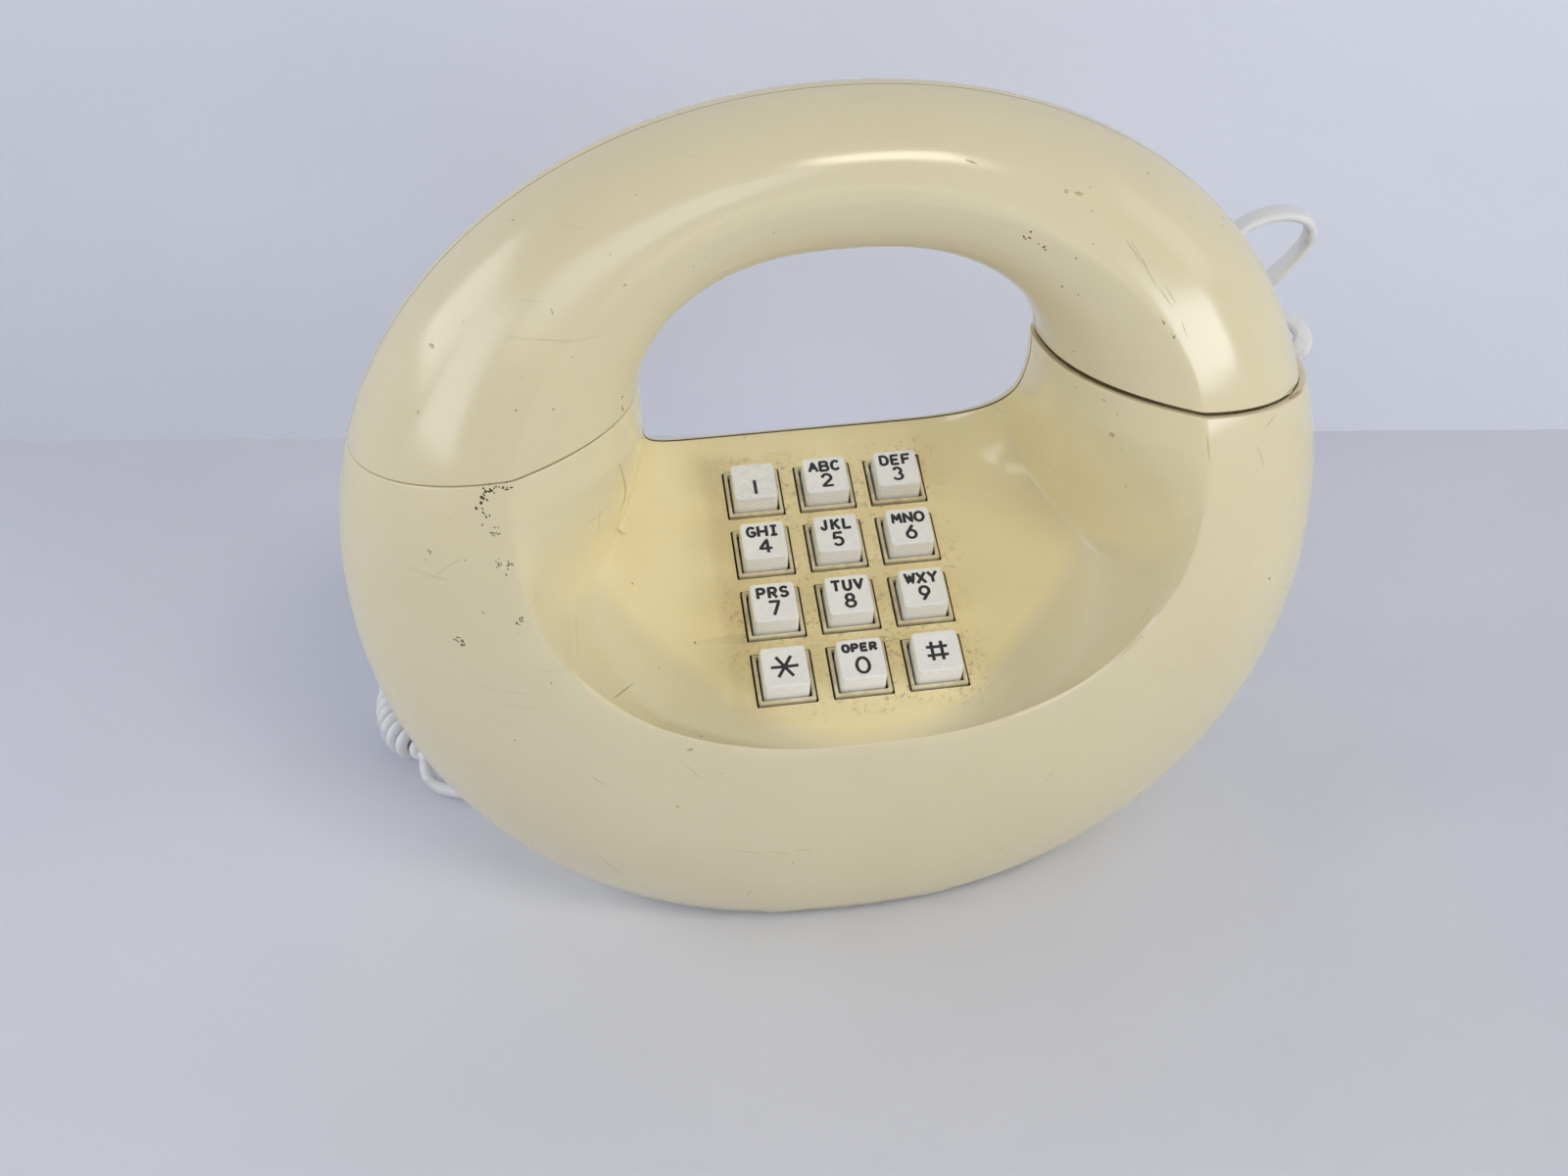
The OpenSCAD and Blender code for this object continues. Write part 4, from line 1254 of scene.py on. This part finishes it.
GLYPHS = {
    "A": [[(0, 0), (0.5, 1), (1, 0)], [(0.2, 0.36), (0.8, 0.36)]],
    "B": [[(0, 0), (0, 1), (0.55, 1)] + arc(0.6, 0.77, 0.3, 0.23, 90, -90) + [(0, 0.54)],
          [(0.55, 0.54)] + arc(0.62, 0.27, 0.36, 0.27, 90, -90) + [(0, 0)]],
    "C": [arc(0.52, 0.5, 0.5, 0.5, 50, 310, 16)],
    "D": [[(0, 0), (0, 1), (0.4, 1)] + arc(0.42, 0.5, 0.55, 0.5, 90, -90, 12) + [(0, 0)]],
    "E": [[(0.9, 1), (0.05, 1), (0.05, 0), (0.9, 0)], [(0.05, 0.52), (0.78, 0.52)]],
    "F": [[(0.95, 1), (0.05, 1), (0.05, 0)], [(0.05, 0.52), (0.8, 0.52)]],
    "G": [arc(0.52, 0.5, 0.5, 0.5, 48, 345, 18) + [(1.0, 0.45), (0.55, 0.45)]],
    "H": [[(0, 0), (0, 1)], [(1, 0), (1, 1)], [(0, 0.5), (1, 0.5)]],
    "I": [[(0.5, 0), (0.5, 1)], [(0.2, 1), (0.8, 1)], [(0.2, 0), (0.8, 0)]],
    "J": [[(0.72, 1), (0.72, 0.3)] + arc(0.42, 0.3, 0.3, 0.3, 0, -170, 8)],
    "K": [[(0.05, 0), (0.05, 1)], [(0.9, 1), (0.05, 0.42)], [(0.35, 0.62), (0.95, 0)]],
    "L": [[(0.1, 1), (0.1, 0), (0.9, 0)]],
    "M": [[(0, 0), (0.08, 1), (0.5, 0.3), (0.92, 1), (1, 0)]],
    "N": [[(0.05, 0), (0.05, 1), (0.95, 0), (0.95, 1)]],
    "O": [arc(0.5, 0.5, 0.52, 0.5, 90, 450, 20)],
    "P": [[(0.05, 0), (0.05, 1), (0.55, 1)] + arc(0.6, 0.74, 0.32, 0.26, 90, -90) + [(0.05, 0.48)]],
    "R": [[(0.05, 0), (0.05, 1), (0.55, 1)] + arc(0.6, 0.74, 0.32, 0.26, 90, -90) + [(0.05, 0.48)],
          [(0.5, 0.48), (0.95, 0)]],
    "S": [arc(0.5, 0.76, 0.4, 0.24, 30, 250, 10) + arc(0.5, 0.26, 0.44, 0.26, 75, -150, 10)],
    "T": [[(0.5, 0), (0.5, 1)], [(0.02, 1), (0.98, 1)]],
    "U": [[(0.06, 1), (0.06, 0.38)] + arc(0.5, 0.38, 0.44, 0.38, 180, 360, 10) + [(0.94, 1)]],
    "V": [[(0.02, 1), (0.5, 0), (0.98, 1)]],
    "W": [[(-0.02, 1), (0.24, 0), (0.5, 0.85), (0.76, 0), (1.02, 1)]],
    "X": [[(0.05, 1), (0.95, 0)], [(0.95, 1), (0.05, 0)]],
    "Y": [[(0.04, 1), (0.5, 0.5), (0.96, 1)], [(0.5, 0.5), (0.5, 0)]],
    "0": [arc(0.5, 0.5, 0.46, 0.5, 90, 450, 22)],
    "1": [[(0.5, 0), (0.5, 1)]],
    "2": [arc(0.5, 0.7, 0.4, 0.3, 165, -20, 10) + [(0.06, 0.02), (0.96, 0.02)]],
    "3": [arc(0.46, 0.75, 0.36, 0.25, 150, -80, 10) + arc(0.44, 0.27, 0.42, 0.27, 80, -150, 12)],
    "4": [[(0.68, 0), (0.68, 1), (0.02, 0.3), (0.98, 0.3)]],
    "5": [[(0.86, 1), (0.2, 1), (0.12, 0.56)] + arc(0.46, 0.32, 0.42, 0.32, 120, -145, 14)],
    "6": [[(0.68, 1), (0.2, 0.52)] + arc(0.5, 0.32, 0.42, 0.32, 150, -210, 20)],
    "7": [[(0.05, 1), (0.92, 1), (0.35, 0)]],
    "8": [arc(0.5, 0.75, 0.34, 0.24, 90, 450, 16), arc(0.5, 0.26, 0.42, 0.26, 90, 450, 18)],
    "9": [[(0.32, 0), (0.8, 0.48)] + arc(0.5, 0.68, 0.42, 0.32, -30, 330, 20)],
    "*": [[(-0.06, 0.5), (1.06, 0.5)], [(0.2, 0.02), (0.8, 0.98)], [(0.2, 0.98), (0.8, 0.02)]],
    "#": [[(0.25, 0), (0.25, 1)], [(0.75, 0), (0.75, 1)], [(0, 0.74), (1, 0.74)], [(0, 0.26), (1, 0.26)]],
}

LEGENDS = {
    "1": [("1", 0.1, -1.6, 2.3, 3.5, 0)],
    "2": [("ABC", 0.0, 2.35, 1.72, 2.3, 2.5), ("2", 0.1, -1.5, 2.4, 3.3, 0)],
    "3": [("DEF", 0.0, 2.35, 1.65, 2.3, 2.45), ("3", 0.1, -1.5, 2.3, 3.3, 0)],
    "4": [("GHI", 0.0, 2.35, 1.75, 2.3, 2.45), ("4", 0.2, -1.5, 2.6, 3.3, 0)],
    "5": [("JKL", 0.0, 2.35, 1.65, 2.3, 2.45), ("5", 0.1, -1.5, 2.3, 3.3, 0)],
    "6": [("MNO", 0.0, 2.35, 1.8, 2.3, 2.5), ("6", 0.1, -1.5, 2.3, 3.3, 0)],
    "7": [("PRS", 0.0, 2.35, 1.65, 2.3, 2.45), ("7", 0.1, -1.5, 2.3, 3.3, 0)],
    "8": [("TUV", 0.0, 2.35, 1.65, 2.3, 2.45), ("8", 0.1, -1.5, 2.3, 3.3, 0)],
    "9": [("WXY", 0.0, 2.35, 1.8, 2.3, 2.45), ("9", 0.1, -1.5, 2.3, 3.3, 0)],
    "star": [("*", 0.0, 0.0, 4.8, 4.7, 0)],
    "0": [("OPER", 0.0, 2.7, 1.22, 1.6, 1.92), ("0", 0.1, -1.6, 2.8, 3.7, 0)],
    "hash": [("#", 0.0, 0.0, 4.1, 4.2, 0)],
}


def legend_strokes(name):
    """Every stroke of a key's legend, as lists of x and y on the key's top."""
    out = []
    for text, cx, cy, width, height, pitch in LEGENDS[name]:
        for k, letter in enumerate(text):
            left = cx + (k - (len(text) - 1) / 2) * pitch - width / 2
            for stroke in GLYPHS[letter]:
                out.append([(left + x * width, cy + (y - 0.5) * height) for x, y in stroke])
    return out


def dish_height(x, y, top, height, dish):
    """Height of a key's dished top at a point."""
    return height - dish * max(0.0, 1 - max(abs(x), abs(y)) ** 2 / (top / 2) ** 2)


def key_body(top, height, dish, base_width=9.75, depth=5.4):
    """A key with rounded corners, a slight draft and a dished top, about its own centre on the pad."""
    levels = [
        (-depth, base_width, 0.9),
        (0.0, (base_width + top) / 2 + 0.06, 0.85),
        (height - 0.42, top + 0.04, 0.8),
        (height - 0.16, top - 0.02, 0.78),
        (height - 0.03, top - 0.22, 0.7),
        (height, top - 0.5, 0.62),
    ]
    rings = [square_loop(width, r, z, 5) for z, width, r in levels]
    rim = rings[-1]
    for share in (0.82, 0.6, 0.35, 0.12):
        inner = [(x * share, y * share) for x, y, _ in rim]
        rings.append([(x, y, dish_height(x, y, top, height, dish)) for x, y in inner])
    return stacked(rings, False)


# The flange and the stem under each key
KEY_UNDERSIDE = [(-5.8, 5.8, -5.8, 5.8, -6.6, -5.4), (-1.6, 1.6, -1.6, 1.6, -9, -6.6)]


class TELEPHONE_OT_keys(bpy.types.Operator):
    """Twelve keys with their legends"""

    bl_idname = "telephone.keys"
    bl_label = "Keys"

    def execute(self, context):
        sizes = context.scene.key_sizes
        white = key_plastic()
        ink = plain_plastic("legend_black", (0.012, 0.012, 0.014), 0.5)
        names = ["1", "2", "3", "4", "5", "6", "7", "8", "9", "star", "0", "hash"]
        for k, name in enumerate(names):
            centre = np.array([(k % 3 - 1) * KEY_PITCH, (1.5 - k // 3) * KEY_PITCH, 0.0])
            points, faces = key_body(sizes.top, sizes.height, sizes.dish)
            inks = [0] * len(faces)
            for block in KEY_UNDERSIDE:
                more, sides = rounded_blocks([block], 0.2)
                faces += [[q + len(points) for q in f] for f in sides]
                points += more
                inks += [0] * len(sides)
            for stroke in legend_strokes(name):
                more, sides = self.stroke(stroke, sizes)
                faces += [[q + len(points) for q in f] for f in sides]
                points += more
                inks += [1] * len(sides)
            place = from_pad(np.array(points, float) + centre)
            obj = make_object("button_" + name, place, faces, [white, ink])
            obj.data.polygons.foreach_set("material_index", inks)
            smooth(obj, 38)
            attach(obj, "key_" + name + "_body")
            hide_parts("key_" + name)
        return {"FINISHED"}

    def stroke(self, line, sizes):
        """A flattened tube with round ends that follows the dished top."""
        half = sizes.stroke / 2
        fine = []
        for a, b in zip(line, line[1:]):
            n = max(1, int(math.dist(a, b) / 0.4))
            fine += [(a[0] + (b[0] - a[0]) * k / n, a[1] + (b[1] - a[1]) * k / n) for k in range(n)]
        fine.append(line[-1])
        closed = math.dist(fine[0], fine[-1]) < 1e-6
        path = np.array([(x, y, dish_height(x, y, sizes.top, sizes.height, sizes.dish)) for x, y in fine])
        if not closed:
            for end, step in ((0, 1), (-1, -1)):
                d = path[end] - path[end + step]
                d = d / np.linalg.norm(d)
                cap = path[end] + d * half * 0.45
                path = np.concatenate([[cap], path]) if end == 0 else np.concatenate([path, [cap]])
        outline = [
            (half, 0.0), (half * 0.8, 0.045), (half * 0.3, 0.06), (-half * 0.3, 0.06), (-half * 0.8, 0.045),
            (-half, 0.0), (-half * 0.7, -0.06), (half * 0.7, -0.06),
        ]
        along = np.gradient(path, axis=0)
        across = np.stack([along[:, 1], -along[:, 0], np.zeros(len(along))], 1)
        points, faces = sweep(path, across, outline)
        return [tuple(q) for q in points], [list(f) for f in faces]


def key_plastic():
    """White key plastic with a faint mottling, stronger on the first key."""
    sizes = bpy.context.scene.key_sizes
    p = Paint("key_plastic")
    if not p.fresh:
        return p.material
    tint = tuple(sizes.white)
    x, _, z = p.parts(p.object_coords())
    worst = p.math("MULTIPLY", p.ramp(x, -0.0100, -0.0104), p.ramp(z, 0.0910, 0.0914))
    patches = p.ramp(p.noise(800.0, 5.0, rough=0.7), 0.36, 0.72)
    mottle = p.math("MULTIPLY", patches, p.ramp(worst, 0, 1, 0.22, 0.62))
    p.bump(p.noise(700.0, 2.0), 0.05, 0.0002)
    return p.done(p.mix(mottle, tint, tuple(c * 0.7 for c in tint)), 0.32)


def collar_plastic():
    """The frame's plastic, with dirt in patches."""
    sizes = bpy.context.scene.ring_sizes
    p = Paint("collar_plastic")
    if not p.fresh:
        return p.material
    dirt = p.ramp(p.noise(240.0, 4.0), 0.50, 0.72, 0.0, 0.45)
    base = p.mix(p.ramp(p.noise(500.0, 4.0), 0.5, 0.75, 0.0, 0.5), tuple(sizes.plastic), (0.52, 0.40, 0.20))
    p.bump(p.noise(300.0, 1.0), 0.06, 0.0002)
    return p.done(p.mix(dirt, base, (0.36, 0.26, 0.115)), 0.28)


class TELEPHONE_OT_keypad(bpy.types.Operator):
    """Frame under the pad with a collar round each key"""

    bl_idname = "telephone.keypad"
    bl_label = "Keypad frame"

    def execute(self, context):
        levels = [(-5.0, 11.9, 10.45), (0.5, 11.9, 10.45), (0.62, 11.75, 10.55)]
        outside = [square_loop(width, 0.3, z) for z, width, _ in levels]
        inside = [square_loop(width, 0.3, z) for z, _, width in reversed(levels)]
        points, faces = stacked(outside + inside, True)
        obj = face_outwards(on_the_pad(make_object("key_collars", points, faces, []), collar_plastic()))
        smooth(obj, 30)
        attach(obj, "base")
        NODES["keypad_frame"].data.materials.clear()
        NODES["keypad_frame"].data.materials.append(plain_plastic("well_shadow", (0.10, 0.075, 0.04), 0.7))
        return {"FINISHED"}


# ---------------------------------------------------------------- carried-over nodes
class TELEPHONE_OT_inside(bpy.types.Operator):
    """Finishes of the pieces that keep their construction solids"""

    bl_idname = "telephone.inside"
    bl_label = "Inner pieces"

    def execute(self, context):
        plastic = ivory_plastic()
        steel = metal("zinc_steel", (0.62, 0.62, 0.60), 0.32)
        brass = metal("brass", (0.75, 0.56, 0.22), 0.25)
        dark = plain_plastic("dark_phenolic", (0.05, 0.045, 0.04), 0.4)
        rubber = plain_plastic("foot_rubber", (0.035, 0.034, 0.033), 0.75)
        board = plain_plastic("paper_board", (0.32, 0.19, 0.08), 0.5)
        winding = metal("copper_winding", (0.55, 0.22, 0.10), 0.35)
        white = cord_sheath()
        red = plain_plastic("wire_red", (0.35, 0.03, 0.02), 0.45)
        finishes = {
            "chassis_plate": steel, "chassis_screws": steel, "keypad_board": board, "keypad_contacts": steel,
            "keypad_posts": steel, "ringer_bracket": steel, "ringer_coils": winding, "gong_left": brass,
            "gong_right": brass, "gong_screws": steel, "ringer_clapper": steel, "network_block": dark,
            "network_terminals": brass, "hook_switch_body": dark, "hook_switch_bracket": steel,
            "hook_plunger": key_plastic(), "hook_spring": steel, "seat_left": plastic, "seat_right": plastic,
            "cup_left": plastic, "cup_right": plastic, "base_cord_relief": white, "line_cord_relief": white,
            "handset_cord_relief": white, "handset_end_left": plastic, "handset_end_right": plastic,
            "receiver_cap": plastic, "transmitter_cap": plastic, "receiver_capsule": steel,
            "transmitter_capsule": steel, "handset_wires": red, "foot_front_left": rubber,
            "foot_front_right": rubber, "foot_rear_left": rubber, "foot_rear_right": rubber,
        }
        for node, material in finishes.items():
            NODES[node].data.materials.clear()
            NODES[node].data.materials.append(material)
        return {"FINISHED"}


# ---------------------------------------------------------------- stage
WALL_Y, WALL_TURN = 0.176, 0.1476
# Each lamp's name, azimuth and height in degrees, distance, width and height in metres, watts and tint
LAMPS = [
    ("left_window", -108, 26, 1.7, 1.1, 0.8, 9.0, (0.95, 0.97, 1.0)),
    ("left_front", -72, 21, 1.7, 0.75, 0.9, 7.4, (0.85, 0.87, 1.0)),
    ("low_left", -72, 6, 1.7, 1.0, 0.3, 0.6, (1.0, 0.95, 0.8)),
    ("front_soft", -22, 38, 1.7, 1.4, 0.6, 6.0, (0.88, 0.91, 1.0)),
    ("low_front", 15, 8, 1.7, 0.8, 0.35, 0.6, (1.0, 1.0, 0.95)),
    ("low_right", 52, 11, 1.7, 1.2, 0.5, 12.4, (0.92, 0.94, 1.0)),
    ("right_window", 86, 28, 1.6, 0.7, 0.6, 1.5, (1.0, 0.97, 1.0)),
    ("front_strip", 24, 53, 1.5, 0.52, 0.26, 4.8, (1.0, 0.94, 0.8)),
]
SKY_COLOUR, SKY_LIGHT, SKY_SEEN = (0.90, 0.93, 1.0), 0.04, 0.62


def on_the_wall(x, lean=0.0, z=0.0):
    """A point of the backdrop, which stands a little turned behind the telephone and leans back."""
    return (x, WALL_Y - WALL_TURN * x + lean, z)


class TELEPHONE_OT_stage(bpy.types.Operator):
    """Camera, floor, backdrop and lamps"""

    bl_idname = "telephone.stage"
    bl_label = "Stage"

    def execute(self, context):
        scene = context.scene
        scene.view_settings.view_transform = "Standard"
        camera = bpy.data.objects.new("camera", bpy.data.cameras.new("camera"))
        scene.collection.objects.link(camera)
        camera.data.lens = LENS
        camera.data.sensor_width = SENSOR
        camera.data.clip_start = 0.01
        back = CAMERA_RIGHT.cross(CAMERA_UP)
        place = Matrix((CAMERA_RIGHT, CAMERA_UP, back)).transposed().to_4x4()
        place.translation = CAMERA_AT
        camera.matrix_world = place
        scene.camera = camera
        floor_cloth = self.cloth("floor_cloth", (0.70, 0.715, 0.77))
        wall_cloth = self.cloth("wall_cloth", (0.735, 0.76, 0.835))
        reach, left, right, lean, high = 1.6, -0.66, 1.1, 0.05, 0.8
        corners = [(-reach, -reach, 0), (reach, -reach, 0), on_the_wall(reach), on_the_wall(-reach)]
        floor = make_object("floor", corners, [(0, 1, 2, 3)], [floor_cloth], 1.0)
        corners = [on_the_wall(left), on_the_wall(right)]
        corners += [on_the_wall(right, lean, high), on_the_wall(left, lean, high)]
        wall = make_object("backdrop", corners, [(0, 1, 2, 3)], [wall_cloth], 1.0)
        self.open_behind(wall_cloth)
        self.open_behind(floor_cloth)
        for name, azimuth, height, away, wide, high, watts, tint in LAMPS:
            self.lamp(name, azimuth, height, away, wide, high, watts, tint)
        world = bpy.data.worlds.new("studio")
        scene.world = world
        world.use_nodes = True
        self.sky(world.node_tree)
        return {"FINISHED"}

    def sky(self, tree):
        """A pale surround for what the eye and the gloss see, and a weak one for the light it gives."""
        background = tree.nodes["Background"]
        background.inputs[0].default_value = (*SKY_COLOUR, 1)
        path = tree.nodes.new("ShaderNodeLightPath")
        seen = None
        for name in ("Is Camera Ray", "Is Glossy Ray", "Is Transmission Ray"):
            if seen is None:
                seen = path.outputs[name]
                continue
            either = tree.nodes.new("ShaderNodeMath")
            either.operation = "MAXIMUM"
            tree.links.new(seen, either.inputs[0])
            tree.links.new(path.outputs[name], either.inputs[1])
            seen = either.outputs[0]
        level = tree.nodes.new("ShaderNodeMapRange")
        level.inputs["To Min"].default_value = SKY_LIGHT
        level.inputs["To Max"].default_value = SKY_SEEN
        tree.links.new(seen, level.inputs["Value"])
        tree.links.new(level.outputs[0], background.inputs[1])

    def open_behind(self, material):
        """Lets the eye through a backdrop from behind, so that it hides nothing."""
        tree = material.node_tree
        out = next(n for n in tree.nodes if n.type == "OUTPUT_MATERIAL")
        shader = next(n for n in tree.nodes if n.type == "BSDF_PRINCIPLED")
        both = tree.nodes.new("ShaderNodeMath")
        both.operation = "MULTIPLY"
        tree.links.new(tree.nodes.new("ShaderNodeNewGeometry").outputs["Backfacing"], both.inputs[0])
        tree.links.new(tree.nodes.new("ShaderNodeLightPath").outputs["Is Camera Ray"], both.inputs[1])
        mixed = tree.nodes.new("ShaderNodeMixShader")
        tree.links.new(both.outputs[0], mixed.inputs[0])
        tree.links.new(shader.outputs[0], mixed.inputs[1])
        tree.links.new(tree.nodes.new("ShaderNodeBsdfTransparent").outputs[0], mixed.inputs[2])
        tree.links.new(mixed.outputs[0], out.inputs["Surface"])

    def cloth(self, name, colour):
        """Plain pale cotton with soft folds."""
        p = Paint(name, Roughness=0.9)
        if not p.fresh:
            return p.material
        p.shader.inputs["Specular IOR Level"].default_value = 0.15
        folds = p.noise(5.0, 2.0)
        creases = p.noise(11.0, 4.0, rough=0.55)
        p.bump(p.math("ADD", p.noise(6.0, 2.0), p.math("MULTIPLY", creases, 0.35)), 0.35, 0.02)
        return p.done(p.mix(p.ramp(folds, 0.3, 0.7, 0.0, 0.06), colour, (0.3, 0.3, 0.32)))

    def lamp(self, name, azimuth, height, away, wide, high, watts, tint):
        """A rectangular lamp aimed at the object, its azimuth measured from the front to the right."""
        a, e = math.radians(azimuth), math.radians(height)
        way = Vector((math.sin(a) * math.cos(e), -math.cos(a) * math.cos(e), math.sin(e)))
        lamp = bpy.data.objects.new(name, bpy.data.lights.new(name, "AREA"))
        bpy.context.scene.collection.objects.link(lamp)
        lamp.data.shape = "RECTANGLE"
        lamp.data.size, lamp.data.size_y = wide, high
        lamp.data.energy, lamp.data.color = watts, tint
        lamp.location = way * away + Vector((0, 0, 0.1))
        lamp.rotation_euler = way.to_track_quat("Z", "Y").to_euler()
        return lamp


# ---------------------------------------------------------------- panel and registration
STEPS = ["stage", "line_cord", "curled_cord", "base_housing", "handset_shells", "keypad", "keys", "inside"]


class TELEPHONE_PT_panel(bpy.types.Panel):
    """Lists the telephone's pieces"""

    bl_label = "Ring telephone"
    bl_idname = "TELEPHONE_PT_panel"
    bl_space_type = "VIEW_3D"
    bl_region_type = "UI"
    bl_category = "Telephone"

    def draw(self, context):
        for group in ("ring_sizes", "key_sizes", "cord_sizes"):
            settings = getattr(context.scene, group)
            for name in settings.__annotations__:
                self.layout.prop(settings, name)
        for step in STEPS:
            self.layout.operator("telephone." + step)


CLASSES = (
    RingSizes, KeySizes, CordSizes, TELEPHONE_OT_stage, TELEPHONE_OT_line_cord, TELEPHONE_OT_curled_cord,
    TELEPHONE_OT_base_housing, TELEPHONE_OT_handset_shells, TELEPHONE_OT_keypad, TELEPHONE_OT_keys,
    TELEPHONE_OT_inside, TELEPHONE_PT_panel,
)


def register():
    """Registers the classes and their settings on the scene."""
    for c in CLASSES:
        bpy.utils.register_class(c)
    bpy.types.Scene.ring_sizes = PointerProperty(type=RingSizes)
    bpy.types.Scene.key_sizes = PointerProperty(type=KeySizes)
    bpy.types.Scene.cord_sizes = PointerProperty(type=CordSizes)


def unregister():
    """Takes the classes and their settings off again."""
    del bpy.types.Scene.ring_sizes
    del bpy.types.Scene.key_sizes
    del bpy.types.Scene.cord_sizes
    for c in reversed(CLASSES):
        bpy.utils.unregister_class(c)


def main():
    """Builds the telephone step by step."""
    register()
    for step in STEPS:
        getattr(bpy.ops.telephone, step)()


if __name__ == "__main__":
    main()
